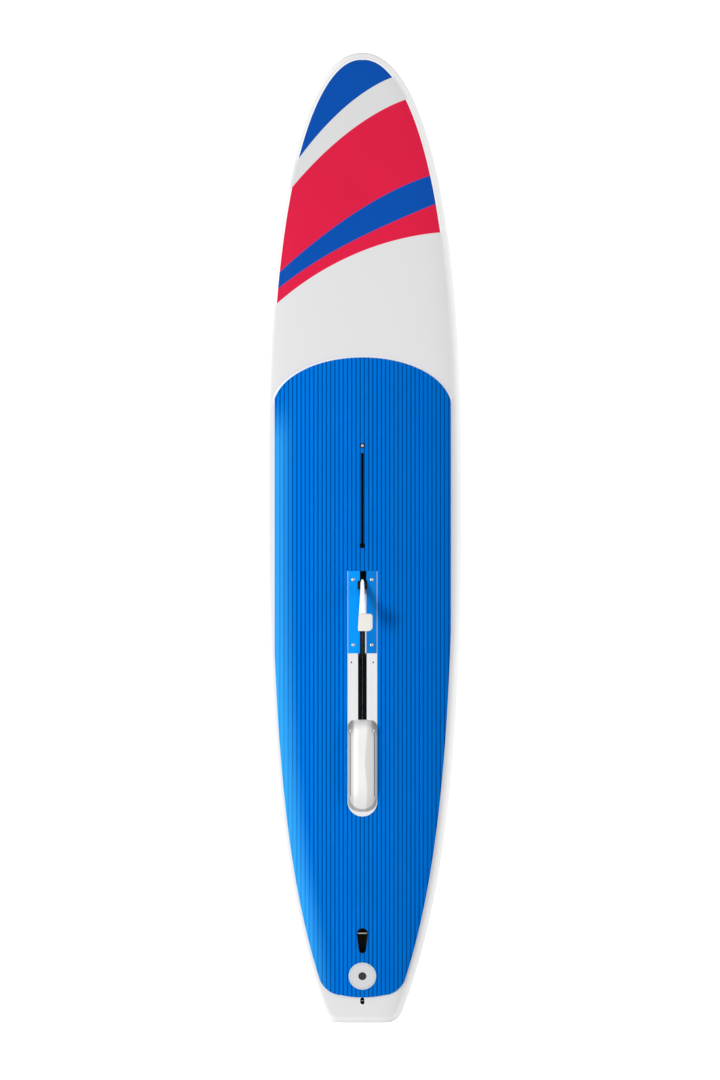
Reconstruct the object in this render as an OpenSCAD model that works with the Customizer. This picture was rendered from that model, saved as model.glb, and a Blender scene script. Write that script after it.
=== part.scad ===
// Windsurf longboard: sandwich hull, grooved deck pad, mast track, pivoting
// daggerboard in its case, and a fin that slides in a slotted box.
// +X points to the nose, +Y to port and +Z up. The origin is on the centreline
// at mid-length, on the flat of the bottom.

/* [Board] */
// Overall length
board_l = 3660; // [3300:10:3900]
// Overall width
board_w = 750; // [650:5:820]
// Thickness at the flat of the deck
board_t = 145; // [135:1:175]
// Thickness where the nose starts to round off
nose_t = 48; // [40:1:70]
// Thickness where the tail starts to round off
tail_t = 78; // [72:1:100]
// Height of the nose above the flat of the bottom
nose_rocker = 150; // [80:5:220]
// Height of the tail's lower edge above the flat of the bottom
tail_kick = 12; // [0:1:25]
// Thickness of the sandwich skins
skin_t = 5; // [3:0.5:8]

/* [Deck pad] */
// Thickness of the foam pad
pad_t = 6; // [4:0.5:8]
// Bare rail between the pad and the outline
pad_inset = 34; // [20:1:60]
// From the tail to the front of the pad
pad_front = 2516; // [2400:1:2600]
// Depth of the curve along the pad's front
pad_nose_l = 190; // [100:5:300]
// From the tail to the back of the pad
pad_rear = 110; // [90:1:140]
// Diameter of the round badge
badge_d = 104; // [60:1:120]

/* [Mast track] */
// From the tail to the round entry of the track
track_from_tail = 1808; // [1790:1:1850]
// Length from the round entry to the front of the slot
track_l = 349; // [250:1:400]
// Width of the track's slot
track_slot_w = 10; // [8:0.5:12]
// Diameter of the round entry
track_entry_d = 21; // [18:0.5:22]
// Thickness of the track's lips
track_lip_t = 5; // [4:0.5:8]
// Diameter of the vent screw's thread
vent_thread_d = 10; // [8:0.5:12]

/* [Daggerboard] */
// From the tail to the pivot
pivot_from_tail = 1659; // [1640:1:1670]
// Diameter of the pivot pin
pivot_d = 12; // [10:0.5:14]
// From the pivot to the blade's tip
blade_l = 790; // [650:5:800]
// Chord of the blade at its root
blade_chord = 155; // [130:1:158]
// Thickness of the blade
blade_t = 26; // [20:0.5:28]
// Angle from the deck to the lever with the blade down
lever_angle = 28; // [20:1:32]
// How far aft the lowered blade leans from straight down
blade_rake = 10; // [8:1:14]
// Gap on each side of the blade in its case
case_gap = 5; // [4:0.5:6]
// Wall of the case
case_wall = 3; // [2:0.5:4]

/* [Cassette] */
// Half-width of the frame and the cover plates
frame_half_w = 56; // [52:0.5:60]
// Length of the cover plates
plate_l = 310; // [280:1:340]
// Thickness of the cover plates
plate_t = 5; // [4:0.5:5]
// Gap between the two cover plates
plate_gap = 19; // [18:0.5:22]
// Height of the tip cover above the frame
tip_cover_h = 40; // [30:1:60]
// Sheet thickness of the tip cover
tip_cover_t = 1.5; // [1:0.1:2]

/* [Fin] */
// From the tail to the middle of the fin box
fin_box_from_tail = 365; // [350:1:400]
// Length of the fin box
fin_box_l = 267; // [240:1:280]
// Width of the fin box's slot
fin_slot_w = 10; // [9:0.5:12]
// Depth of the fin below the hull
fin_depth = 320; // [200:5:450]
// Length of the fin at its base
fin_base_l = 150; // [130:1:160]

/* [Tail] */
// From the tail to the front of the grip cup
grip_front = 366; // [350:1:380]
// Length of the grip cup
grip_l = 96; // [85:1:100]
// From the tail to the middle of the badge
badge_from_tail = 183; // [175:1:190]
// From the tail to the middle of the leash cup
leash_from_tail = 87; // [80:1:95]

/* [Hidden] */
$fn = 48;

BLUE = "#0a6ad0";
WHITE = "#f1f2f2";
BLACK = "#17181a";
STEEL = "#c4c6c8";
FOAM = "#e9e4d2";

glue = 0.3;             // gap left all round a bonded insert
seal = 0.2;             // gap between pieces that are pushed together by hand
bond_line = 0.1;        // seam between the two skins, seen at the rail
cut = 1;                // how far a cutting shape runs past the face that it cuts
rim = 0.5;              // what the hull keeps at its very ends
half_l = board_l / 2;
rail_share = 0.42;      // height of the rail line as a share of the thickness
deck_power = 4.5;       // squareness of the section above the rail line
bottom_power = 8;       // squareness of the section below it
nose_round = 60;        // length over which the nose rounds off in profile
tail_round = 26;        // the same at the tail
tail_corner_r = 40;     // corners of the tail in plan
wide_x = 1930 - half_l;     // widest station
rocker_x = 2280 - half_l;   // where the bottom starts to rise to the nose
kick_x = 145 - half_l;      // where it starts to rise to the tail

// stations of the fittings
track_x = track_from_tail - half_l;
track_front_x = track_x + track_l;
vent_bush_r = vent_thread_d / 2 + 4.5;
vent_x = track_front_x + 27;
pivot_x = pivot_from_tail - half_l;
plate_front_x = pivot_x + 53;
plate_rear_x = plate_front_x - plate_l;
case_rear_x = pivot_x - blade_l - 25;
case_front_x = pivot_x + blade_chord - 4;
frame_rear_x = case_rear_x - frame_half_w;
flat_front_x = vent_x + vent_bush_r + 5;
flat_rear_x = frame_rear_x - 8;
flat_half_w = frame_half_w + 26;
grip_x = grip_front - half_l;
badge_x = badge_from_tail - half_l;
leash_x = leash_from_tail - half_l;
fin_x = fin_box_from_tail - half_l;

// heights of the fittings
frame_t = pad_t;
top_z = board_t + frame_t;
plate_z = top_z - plate_t;
pivot_z = board_t - pivot_d / 2 - 0.5;
case_half_w = blade_t / 2 + case_gap;
case_outer_half_w = case_half_w + case_wall;

// ---- hull form -------------------------------------------------------------
function share(v) = max(0, min(1, v));
function corner_loss(d, r) = d >= r ? 0 : r - sqrt(r * r - pow(r - d, 2));
function half_w(x) = x > wide_x
    ? board_w / 2 * pow(1 - pow(share((x - wide_x) / (half_l - wide_x)), 2.6), 0.465)
    : let (v = share((wide_x - x) / (half_l + wide_x)))
      board_w / 2 * (1 - 0.35 * pow(v, 2) - 0.29 * pow(v, 4.8)) - corner_loss(x + half_l, tail_corner_r);
function bottom_z(x) = x > rocker_x ? nose_rocker * pow((x - rocker_x) / (half_l - rocker_x), 2.2)
    : x < kick_x ? tail_kick * pow((kick_x - x) / (half_l + kick_x), 2) : 0;
function full_t(x) = x > flat_front_x
    ? board_t - (board_t - nose_t) * pow((x - flat_front_x) / (half_l - flat_front_x), 1.6)
    : x < flat_rear_x
    ? board_t - (board_t - tail_t) * pow((flat_rear_x - x) / (half_l + flat_rear_x), 1.7) : board_t;
function end_share(d, r) = d >= r ? 1 : sqrt(1 - pow(1 - d / r, 2));
function closing(x) = min(end_share(half_l - x + rim, nose_round), end_share(half_l + x + rim, tail_round));
function rail_z(x) = bottom_z(x) + rail_share * full_t(x);
function rise(x) = (1 - rail_share) * full_t(x) * closing(x);
function drop(x) = rail_share * full_t(x) * closing(x);
function deck_z(x) = rail_z(x) + rise(x);
function deck_pitch(x) = atan((deck_z(x + 5) - deck_z(x - 5)) / 10);

// Stations crowd towards both ends, where the outline turns fastest, and two
// of them bound the flat of the deck.
AFT = [for (i = [0:9]) -half_l + rim + (flat_rear_x + half_l - rim) * (1 - cos(9 * i))];
MIDDLE = [for (i = [0:8]) flat_rear_x + (flat_front_x - flat_rear_x) * i / 9];
FORE = [for (i = [0:16]) flat_front_x + (half_l - rim - flat_front_x) * sin(5.625 * i)];
STATIONS = concat(AFT, MIDDLE, FORE);

// Points across a section run from the port rail to the starboard rail. The
// angles are those of a superellipse; the two at the middle bound the flat.
ANGLES = [for (a = [0:12:84]) a];
side_n = len(ANGLES);
ring_n = 2 * side_n + 2;
function across(j, w, power) =
    j < side_n ? w * pow(cos(ANGLES[j]), 2 / power)
    : j == side_n ? min(flat_half_w, 0.3 * w) : -across(ring_n - 1 - j, w, power);
function height(j) = j < side_n ? sin(ANGLES[j]) : j <= side_n + 1 ? 1 : sin(ANGLES[ring_n - 1 - j]);

// inset = 0 gives the outer surface and inset = skin_t the surface of the core
function inner_x(x, inset) = x * (half_l - inset) / half_l;
function skin_w(x, inset) = max(half_w(x) - inset, 0.5 * half_w(x));
function deck_pt(x, j, inset, lift = 0) =
    [inner_x(x, inset), across(j, skin_w(x, inset), deck_power),
     rail_z(x) + max(rise(x) - inset, 0.35 * rise(x)) * height(j) + lift
     + (inset == 0 && height(j) == 0 ? bond_line : 0)];
function bottom_pt(x, j, inset) =
    [inner_x(x, inset), across(j, skin_w(x, inset), bottom_power),
     rail_z(x) - max(drop(x) - inset, 0.35 * drop(x)) * height(j)];

// A solid lofted through closed rings. Its ends are strips from one half of
// the ring to the other; shared = 1 when the halves meet in a point at each
// side, and turned = true for rings that run anticlockwise.
module loft(rings, shared = 0, turned = false) {
    n = len(rings);
    size = len(rings[0]);
    function mate(j) = (size - 1 + shared - j) % size;
    function tri(a, b, c) = turned ? [a, b, c] : [a, c, b];
    function quad(a, b, c, d) = [if (b != c) tri(a, b, c), if (a != d) tri(a, c, d)];
    sides = [for (i = [0:n - 2], j = [0:size - 1]) let (a = i * size + j, b = i * size + (j + 1) % size)
        each quad(a, b, b + size, a + size)];
    last = (n - 1) * size;
    strip = [0:size / 2 - 2 + shared];
    ends = [for (j = strip) each concat(
        quad(mate(j), mate(j + 1), j + 1, j),
        quad(last + j, last + j + 1, last + mate(j + 1), last + mate(j)))];
    polyhedron([for (ring = rings) each ring], concat(sides, ends), convexity = 6);
}

// ---- shared shapes -----------------------------------------------------------
// A side view, given as (x, z), made w wide across the board
module side_slab(w) {
    rotate([90, 0, 0]) linear_extrude(w, center = true) children();
}

module cross_rod(x, z, r, w) {
    translate([x, 0, z]) rotate([90, 0, 0]) cylinder(r = r, h = w, center = true);
}

module box(x, y, z) {
    translate([x[0], y[0], z[0]]) cube([x[1] - x[0], y[1] - y[0], z[1] - z[0]]);
}

// On the deck at station x, tilted with it
module on_deck(x) {
    translate([x, 0, deck_z(x)]) rotate([0, -deck_pitch(x), 0]) children();
}

module mirror_pair() {
    children();
    mirror([0, 1, 0]) children();
}

// ---- daggerboard case and cassette -------------------------------------------
frame_slot_half_w = case_half_w - 1.6;
frame_foot = plate_z - board_t;
hub_r = pivot_d / 2 + 10;
hub_w = blade_t + 4;
blade_back = 5;
blade_front = blade_chord - blade_back;
track_box_w = 38;
track_box_h = 30;
track_box_end = 18;
track_cavity_w = 24;
track_cavity_h = 14;
track_block_w = 70;
track_block_h = 40;
head_pin_gap = 0.05;
block_l = 62;
block_h = 33;
block_out_y = frame_half_w - 4;
block_front_x = pivot_x + 33;
anchor_front_x = plate_rear_x + 47;
anchor_l = 94;
anchor_in_y = case_outer_half_w + glue;
anchor_h = 27;
plate_screw_y = frame_half_w - 21;
plate_screw_x = [pivot_x + 21, plate_rear_x + 32];
plate_screw_r = 2;
plate_edge = 1.5;         // frame left standing outside each cover plate
plate_step = 5.5;         // how far the starboard plate stops short of the slot
foot_reach = 1;           // how far the frame's foot reaches past the port plate's edge
plate_screw_head_r = 6.5;
plate_screw_head_h = 3;
frame_screw_x = plate_rear_x - 34;
frame_screw_y = frame_half_w - 15;
frame_screw_r = 1.5;
frame_screw_head_r = 2.75;
lip_t = 2;
lip_z = board_t + 2.5;
lip_grip = 4;
lip_slit = 0.6;
bottom_lip_t = 1.5;
bottom_lip_w = 34;
bottom_lip_gap = 1;
lip_split_x = pivot_x - pivot_z * tan(blade_rake) - blade_back - 5.6;
tip_front_x = plate_rear_x - 249;
tip_rear_x = case_rear_x - 39;
tip_screw_x = tip_front_x - 41;
tip_screw_y = frame_half_w - 13;
tip_screw_r = 1.5;
tip_screw_h = tip_cover_h * sqrt(1 - pow((tip_screw_y - 3.5) / (frame_half_w - 1), 2)) + 0.6;

case_roof_x = pivot_x + 109;
module case_inside() {
    polygon([
        [case_rear_x, -20], [case_front_x, -20], [case_front_x, board_t - 55],
        [case_roof_x, board_t - 41], [plate_front_x, board_t - 5.5],
        [plate_front_x, board_t + 20], [case_rear_x, board_t + 20]
    ]);
}

module case_body(gap = 0, over = 0) {
    side_slab(2 * (case_outer_half_w + gap)) intersection() {
        offset(delta = case_wall + gap) case_inside();
        translate([-half_l, -over]) square([2 * half_l, board_t + 2 * over]);
    }
}

module dagger_case() {
    color(BLACK) difference() {
        case_body();
        side_slab(2 * case_half_w) case_inside();
        // notches that the pin drops into
        cross_rod(pivot_x, pivot_z, pivot_d / 2 + 0.5, 2 * case_outer_half_w + 2 * cut);
        box([pivot_x - pivot_d / 2 - 0.5, pivot_x + pivot_d / 2 + 0.5],
            [-case_outer_half_w - cut, case_outer_half_w + cut], [pivot_z, board_t + cut]);
    }
}

module frame_plan(half_width, front) {
    translate([case_rear_x, -half_width]) square([front - case_rear_x, 2 * half_width]);
    translate([case_rear_x, 0]) circle(half_width);
}

module slot_plan(half_width, front) {
    bend_x = case_rear_x + frame_slot_half_w;
    translate([bend_x, -half_width]) square([front - bend_x, 2 * half_width]);
    translate([bend_x, 0]) circle(half_width);
}

module slot_frame() {
    color(WHITE) difference() {
        translate([0, 0, board_t]) linear_extrude(frame_t) frame_plan(frame_half_w, plate_front_x);
        translate([0, 0, board_t - cut]) linear_extrude(frame_t + 2 * cut)
            slot_plan(frame_slot_half_w, plate_rear_x);
        box([plate_rear_x - cut, plate_front_x + cut],
            [-plate_gap / 2 - foot_reach, plate_gap / 2 + foot_reach], [board_t - cut, top_z + cut]);
        box([pivot_x - hub_r, plate_front_x + cut], [-case_half_w, case_half_w], [board_t - cut, top_z + cut]);
        box([plate_rear_x, plate_front_x + cut], [plate_edge - frame_half_w, frame_half_w - plate_edge],
            [plate_z, top_z + cut]);
        // grooves for the lips
        translate([0, 0, lip_z]) linear_extrude(lip_t) slot_plan(frame_slot_half_w + lip_grip, plate_rear_x - 12);
        mirror_pair() {
            for (x = plate_screw_x) translate([x, plate_screw_y, board_t - cut])
                cylinder(r = plate_screw_r, h = frame_t + 2 * cut);
            translate([frame_screw_x, frame_screw_y, board_t - cut]) cylinder(r = frame_screw_r, h = frame_t + 2 * cut);
            translate([frame_screw_x, frame_screw_y, top_z - 2]) cylinder(r = frame_screw_head_r + 0.2, h = 2 + cut);
            translate([tip_screw_x, tip_screw_y, board_t - cut]) cylinder(r = tip_screw_r, h = frame_t + 2 * cut);
        }
    }
}

module frame_screws() {
    color("#3a3c3f") mirror_pair() translate([frame_screw_x, frame_screw_y, 0]) {
        translate([0, 0, board_t - 20]) cylinder(r = frame_screw_r, h = 20 + frame_t - 2);
        translate([0, 0, top_z - 2]) cylinder(r = frame_screw_head_r, h = 2);
    }
}

module cover_plate(inner_y) {
    difference() {
        box([plate_rear_x + seal, plate_front_x], [inner_y, frame_half_w - plate_edge - seal], [plate_z, top_z]);
        box([pivot_x - hub_r, pivot_x + hub_r], [0, case_half_w], [plate_z - cut, top_z + cut]);
        for (x = plate_screw_x) translate([x, plate_screw_y, 0]) {
            translate([0, 0, plate_z - cut]) cylinder(r = plate_screw_r, h = plate_t + 2 * cut);
            translate([0, 0, top_z - plate_screw_head_h])
                cylinder(r = plate_screw_head_r + seal, h = plate_screw_head_h + cut);
        }
    }
}

module cover_plate_port() {
    color(BLUE) cover_plate(plate_gap / 2);
}

module cover_plate_starboard() {
    color(BLUE) mirror([0, 1, 0]) cover_plate(plate_gap / 2 + plate_step);
}

module cover_plate_screws() {
    color(STEEL) mirror_pair() for (x = plate_screw_x) translate([x, plate_screw_y, 0]) {
        translate([0, 0, board_t - 20]) cylinder(r = plate_screw_r, h = 20 + frame_t - plate_screw_head_h);
        difference() {
            translate([0, 0, top_z - plate_screw_head_h]) cylinder(r = plate_screw_head_r, h = plate_screw_head_h);
            translate([0, 0, top_z - 1.5]) cylinder(r = 2.5, h = 2, $fn = 6);
        }
    }
}

module block_space(gap = 0) {
    mirror_pair() box([block_front_x - block_l - gap, block_front_x + gap],
        [case_outer_half_w + glue - gap, block_out_y + gap], [board_t - block_h, board_t + gap]);
}

module bearing_block() {
    pin_end = block_out_y - 7.8;
    bore_r = pivot_d / 2 + head_pin_gap;
    difference() {
        box([block_front_x - block_l, block_front_x], [case_outer_half_w + glue, block_out_y],
            [board_t - block_h, board_t]);
        translate([pivot_x, 0, pivot_z]) rotate([-90, 0, 0]) cylinder(r = bore_r, h = pin_end);
        box([pivot_x - bore_r, pivot_x + bore_r], [0, pin_end], [pivot_z, board_t + cut]);
        translate([plate_screw_x[0], plate_screw_y, board_t - 20]) cylinder(r = plate_screw_r, h = 20 + cut);
    }
}

module bearing_block_port() {
    color("#2b2d30") bearing_block();
}

module bearing_block_starboard() {
    color("#2b2d30") mirror([0, 1, 0]) bearing_block();
}

module anchor_space(gap = 0) {
    mirror_pair() box([anchor_front_x - anchor_l - gap, anchor_front_x + gap],
        [anchor_in_y - gap, block_out_y + gap], [board_t - anchor_h, board_t + gap]);
}

module rear_anchor_blocks() {
    color("#2b2d30") difference() {
        anchor_space();
        mirror_pair() {
            translate([plate_screw_x[1], plate_screw_y, board_t - 20]) cylinder(r = plate_screw_r, h = 20 + cut);
            translate([frame_screw_x, frame_screw_y, board_t - 20]) cylinder(r = frame_screw_r, h = 20 + cut);
        }
    }
}

module slot_lips() {
    color("#101113") difference() {
        translate([0, 0, lip_z]) linear_extrude(lip_t) slot_plan(frame_slot_half_w + lip_grip, plate_rear_x - 12);
        box([case_rear_x + 10, plate_rear_x], [-lip_slit / 2, lip_slit / 2], [lip_z - cut, lip_z + lip_t + cut]);
    }
}

module bottom_lip(rear, front, gap) {
    mirror_pair() box([rear, front], [gap, bottom_lip_w], [-bottom_lip_t, 0]);
}

module bottom_lips_front() {
    color("#d9dadb") bottom_lip(lip_split_x, case_front_x + 12, blade_t / 2 + bottom_lip_gap);
}

module bottom_lips_rear() {
    color("#d9dadb") bottom_lip(case_rear_x - 12, lip_split_x, lip_slit / 2);
}

// The tip cover is a pressed sheet: half an ellipse across, bowed at the front
// and hipped at the back. Its rings are its outlines at rising heights.
tip_bow = 16;
tip_hip = 34;
function tip_ring(a, inset) = let (
    w = frame_half_w - 1 - inset, y = max(w * cos(a), 12), k = y / w,
    front = tip_front_x - inset - tip_bow * k - 10 * sin(a),
    rear = tip_rear_x + inset + tip_hip * k + 36 * sin(a),
    z = top_z + (tip_cover_h - inset) * sin(a))
    concat([for (t = [-90:15:90]) [front + tip_bow * k * cos(t), y * sin(t), z]],
        [for (t = [90:15:270]) [rear + tip_hip * k * cos(t), y * sin(t), z]]);

module tip_solid(inset) {
    loft([for (a = [0, 15, 32, 50, 68, 90]) tip_ring(a, inset)]);
}

module tip_cover() {
    color(STEEL) difference() {
        tip_solid(0);
        translate([0, 0, -0.2]) tip_solid(tip_cover_t);
        mirror_pair() translate([tip_screw_x, tip_screw_y, top_z]) cylinder(r = tip_screw_r, h = tip_cover_h);
    }
}

module tip_cover_screws() {
    color("#55585b") mirror_pair() translate([tip_screw_x, tip_screw_y, 0]) {
        translate([0, 0, board_t]) cylinder(r = tip_screw_r, h = frame_t + tip_screw_h);
        translate([0, 0, top_z + tip_screw_h]) cylinder(r = 3.5, h = 1.5);
    }
}

// ---- daggerboard: s runs down the blade from the pivot and c forward ----------
function on_blade(s, c) = [
    pivot_x - s * sin(blade_rake) + c * cos(blade_rake),
    pivot_z - s * cos(blade_rake) - c * sin(blade_rake)
];

stop_top = 46;
stop_bottom = 66;
module down_stop() {
    color("#202224") side_slab(2 * case_half_w - 12) polygon([
        on_blade(stop_top, blade_front + glue), on_blade(stop_bottom, blade_front + glue),
        [case_front_x, on_blade(stop_bottom, blade_front)[1]], [case_front_x, on_blade(stop_top, blade_front)[1]]
    ]);
}

module friction_pads() {
    color("#b9bbbd") mirror_pair() box([pivot_x + 1, pivot_x + 91], [blade_t / 2 + 0.4, case_half_w], [15, 55]);
}

head_h = 70;
blade_tip_l = 90;
root_tang_h = 46;
root_tang_t = 12;
root_tang = [20, 120];
neck_w = 14;
tang_t = 6;
function blade_tip(s) = s > blade_l - blade_tip_l
    ? 1 - sqrt(1 - pow((s - blade_l + blade_tip_l) / blade_tip_l, 2)) : 0;
function blade_nose(s) = blade_front - 34 * pow((s - head_h) / (blade_l - head_h), 2.2);
function blade_le(s) = blade_nose(s) - 0.52 * (blade_nose(s) + blade_back) * blade_tip(s);
function blade_te(s) = -blade_back + 0.36 * (blade_nose(s) + blade_back) * blade_tip(s);
function foil(u) = sqrt(u) * (1 - u) / 0.3849;
function blade_half_t(s) = blade_t / 2 * (1 - 0.3 * pow((s - head_h) / (blade_l - head_h), 2))
    * sqrt((blade_le(s) - blade_te(s)) / (blade_nose(s) + blade_back));
FOIL_U = [0, 0.015, 0.05, 0.12, 0.22, 0.34, 0.5, 0.68, 0.86, 1];
BLADE_S = concat([for (i = [0:5]) head_h + (blade_l - blade_tip_l - head_h) * i / 6],
    [for (i = [0:5]) blade_l - blade_tip_l + (blade_tip_l - 0.5) * sin(18 * i)]);

function blade_ring(s) = let (le = blade_le(s), te = blade_te(s), t = blade_half_t(s)) [
    for (side = [-1, 1], k = [0:8]) let (
        u = side < 0 ? FOIL_U[k] : FOIL_U[9 - k],
        p = on_blade(s, le - u * (le - te)))
        [p[0], side * t * foil(u), p[1]]];

module dagger_blade() {
    color(WHITE) difference() {
        union() {
            loft([for (s = BLADE_S) blade_ring(s)], shared = 1);
            side_slab(root_tang_t) polygon([
                on_blade(head_h - root_tang_h, root_tang[0]), on_blade(head_h - root_tang_h, root_tang[1]),
                on_blade(head_h + 12, root_tang[1]), on_blade(head_h + 12, root_tang[0])
            ]);
        }
        tang_bolt_holes(root_tang_t + 2 * cut);
    }
}

// on the lever: u runs up it from beside the pivot and v square to it, upward
function on_lever(u, v) = [
    pivot_x - u * cos(lever_angle) + v * sin(lever_angle),
    pivot_z + u * sin(lever_angle) + v * cos(lever_angle)
];

lever_v = [hub_r, hub_r + 14];
lever_nose_u = -10;
lever_end_u = 203;
lever_nose_w = 14;
lever_end_w = 26;
lever_bolt_u = [30, 50];
lever_bolt_v = lever_v[0] + 5.5;
tang_top_v = lever_v[0] + 10;
lever_bolt_r = 2.5;
tang_bolt_s = 47;
tang_bolt_c = [45, 95];
tang_bolt_r = 3;

module dagger_head() {
    color(BLACK) difference() {
        union() {
            side_slab(blade_t) polygon([
                on_blade(0, -blade_back), on_blade(head_h, -blade_back), on_blade(head_h, blade_front),
                on_blade(40, blade_front), on_blade(4, 15)
            ]);
            cross_rod(pivot_x, pivot_z, hub_r, hub_w);
            side_slab(neck_w) polygon([
                on_lever(-9, 0), on_lever(-7, lever_v[0]), on_lever(60, lever_v[0]),
                on_lever(48, 10), on_lever(12, -8)
            ]);
            side_slab(tang_t) polygon([
                on_lever(8, lever_v[0] - 2), on_lever(8, tang_top_v), on_lever(58, tang_top_v), on_lever(58, lever_v[0] - 2)
            ]);
        }
        cross_rod(pivot_x, pivot_z, pivot_d / 2, hub_w + 2 * cut);
        side_slab(root_tang_t) polygon([
            on_blade(head_h - root_tang_h, root_tang[0]), on_blade(head_h - root_tang_h, root_tang[1]),
            on_blade(head_h + cut, root_tang[1]), on_blade(head_h + cut, root_tang[0])
        ]);
        for (u = lever_bolt_u) cross_rod(on_lever(u, lever_bolt_v)[0], on_lever(u, lever_bolt_v)[1],
            lever_bolt_r, neck_w);
        tang_bolt_holes(blade_t + 2 * cut);
    }
}

module tang_bolt_holes(w) {
    for (c = tang_bolt_c) cross_rod(on_blade(tang_bolt_s, c)[0], on_blade(tang_bolt_s, c)[1], tang_bolt_r, w);
}

module tang_bolts() {
    color(STEEL) tang_bolt_holes(blade_t);
}

module pivot_pin() {
    color(STEEL) cross_rod(pivot_x, pivot_z, pivot_d / 2, 2 * (block_out_y - 8));
}

module pivot_washers() {
    color("#1c1d1f") difference() {
        mirror_pair() translate([pivot_x, hub_w / 2, pivot_z]) rotate([-90, 0, 0])
            cylinder(r = hub_r - 4, h = case_half_w - hub_w / 2 - 0.4);
        cross_rod(pivot_x, pivot_z, pivot_d / 2, 2 * case_half_w);
    }
}

module dagger_lever() {
    mid = (lever_v[0] + lever_v[1]) / 2;
    thick = lever_v[1] - lever_v[0];
    nose = on_lever(lever_nose_u + thick / 2, mid);
    neck = on_lever(62, mid);
    wide = on_lever(140, mid);
    tail = on_lever(lever_end_u - thick / 2, mid);
    color(WHITE) difference() {
        union() {
            hull() {
                cross_rod(nose[0], nose[1], thick / 2, lever_nose_w);
                cross_rod(neck[0], neck[1], thick / 2, lever_nose_w);
            }
            hull() {
                cross_rod(neck[0], neck[1], thick / 2, lever_nose_w);
                cross_rod(wide[0], wide[1], thick / 2, lever_end_w);
            }
            hull() {
                cross_rod(wide[0], wide[1], thick / 2, lever_end_w);
                cross_rod(tail[0], tail[1], thick / 2, lever_end_w);
            }
        }
        side_slab(tang_t) polygon([
            on_lever(8, lever_v[0] - 2), on_lever(8, tang_top_v), on_lever(58, tang_top_v), on_lever(58, lever_v[0] - 2)
        ]);
        for (u = lever_bolt_u) cross_rod(on_lever(u, lever_bolt_v)[0], on_lever(u, lever_bolt_v)[1],
            lever_bolt_r, lever_nose_w + 2 * cut);
    }
}

pedal_u = [139.5, 210.5];
pedal_t = 8;
pedal_y = [-38, 17];
pedal_r = 8;
module lever_pedal() {
    base = on_lever(pedal_u[0], lever_v[1]);
    color("#e9e6dc") translate([base[0], 0, base[1]]) rotate([0, lever_angle, 0])
        translate([-(pedal_u[1] - pedal_u[0]), 0, 0]) linear_extrude(pedal_t) hull()
            for (x = [pedal_r, pedal_u[1] - pedal_u[0] - pedal_r], y = [pedal_y[0] + pedal_r, pedal_y[1] - pedal_r])
                translate([x, y]) circle(pedal_r);
}

module lever_bolts() {
    color(STEEL) for (u = lever_bolt_u) translate([on_lever(u, lever_bolt_v)[0], 0, on_lever(u, lever_bolt_v)[1]])
        rotate([90, 0, 0]) {
            translate([0, 0, -lever_nose_w / 2 - 3]) cylinder(r = lever_bolt_r, h = lever_nose_w + 3);
            translate([0, 0, lever_nose_w / 2]) cylinder(r = 4.5, h = 3);
        }
}

module lever_nuts() {
    color(STEEL) for (u = lever_bolt_u) translate([on_lever(u, lever_bolt_v)[0], 0, on_lever(u, lever_bolt_v)[1]])
        rotate([90, 0, 0]) difference() {
            translate([0, 0, -lever_nose_w / 2 - 3]) cylinder(r = 4.6, h = 3, $fn = 6);
            translate([0, 0, -lever_nose_w / 2 - 3 - cut]) cylinder(r = lever_bolt_r, h = 3 + 2 * cut);
        }
}

// ---- hull ------------------------------------------------------------------
module case_space() {
    case_body(glue, cut);
}

module track_space(gap = 0, over = 0) {
    box([track_x - track_box_end - gap, track_front_x + 11 + gap], [-track_box_w / 2 - gap, track_box_w / 2 + gap],
        [board_t - track_box_h, board_t + over]);
}

module track_block_space(gap = 0) {
    box([track_x - track_box_end - 5 - gap, track_front_x + 16 + gap],
        [-track_block_w / 2 - gap, track_block_w / 2 + gap],
        [board_t - track_block_h, board_t - skin_t]);
}

module vent_space(gap = 0) {
    translate([vent_x, 0, board_t - vent_bush_h]) cylinder(r = vent_bush_r + gap, h = vent_bush_h + frame_t + cut);
}

grip_front_r = 21;
grip_rear_r = 13.5;
grip_wall = 2.5;
grip_depth = 32;
grip_bar_r = 3;
grip_bar_z = -5;
leash_r = 7.8;
leash_reach = 5.7;
leash_wall = 2;
leash_depth = 26;
leash_pin_r = 1.5;
vent_bush_h = 30;
vent_bore_r = vent_thread_d / 2;
vent_ring_r = 1;
vent_head_r = vent_bore_r + 1;
vent_seat_r = vent_head_r + vent_ring_r;
vent_seat_z = board_t - 3;
vent_head_h = 5;

module grip_plan(grow) {
    hull() {
        translate([-grip_front_r, 0]) circle(grip_front_r + grow);
        translate([-grip_l + grip_rear_r, 0]) circle(grip_rear_r + grow);
    }
}

// x = 0 is the cup's front edge, and the deck's slope is taken at its middle
module at_grip() {
    on_deck(grip_x - grip_l / 2) translate([grip_l / 2, 0, 0]) children();
}

module leash_plan(grow) {
    hull() for (x = [-leash_reach, leash_reach]) translate([x, 0]) circle(leash_r + grow);
}

module grip_space(gap) {
    at_grip() translate([0, 0, -grip_depth]) linear_extrude(grip_depth + 2 * pad_t) grip_plan(gap);
}

module leash_space(gap) {
    on_deck(leash_x) translate([0, 0, -leash_depth]) linear_extrude(leash_depth + 2 * pad_t) leash_plan(gap);
}

fin_box_w = fin_slot_w + 14;
fin_box_h = 35;
fin_box_end = 8;
fin_floor = 30;
fin_groove_z = [11.5, 19];
fin_groove_w = 3.5;
fin_block_w = 60;
fin_block_h = 50;
fin_block_over = 15;

module fin_box_space(gap = 0, under = 0) {
    box([fin_x - fin_box_l / 2 - gap, fin_x + fin_box_l / 2 + gap],
        [-fin_box_w / 2 - gap, fin_box_w / 2 + gap], [-under, fin_box_h]);
}

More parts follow.
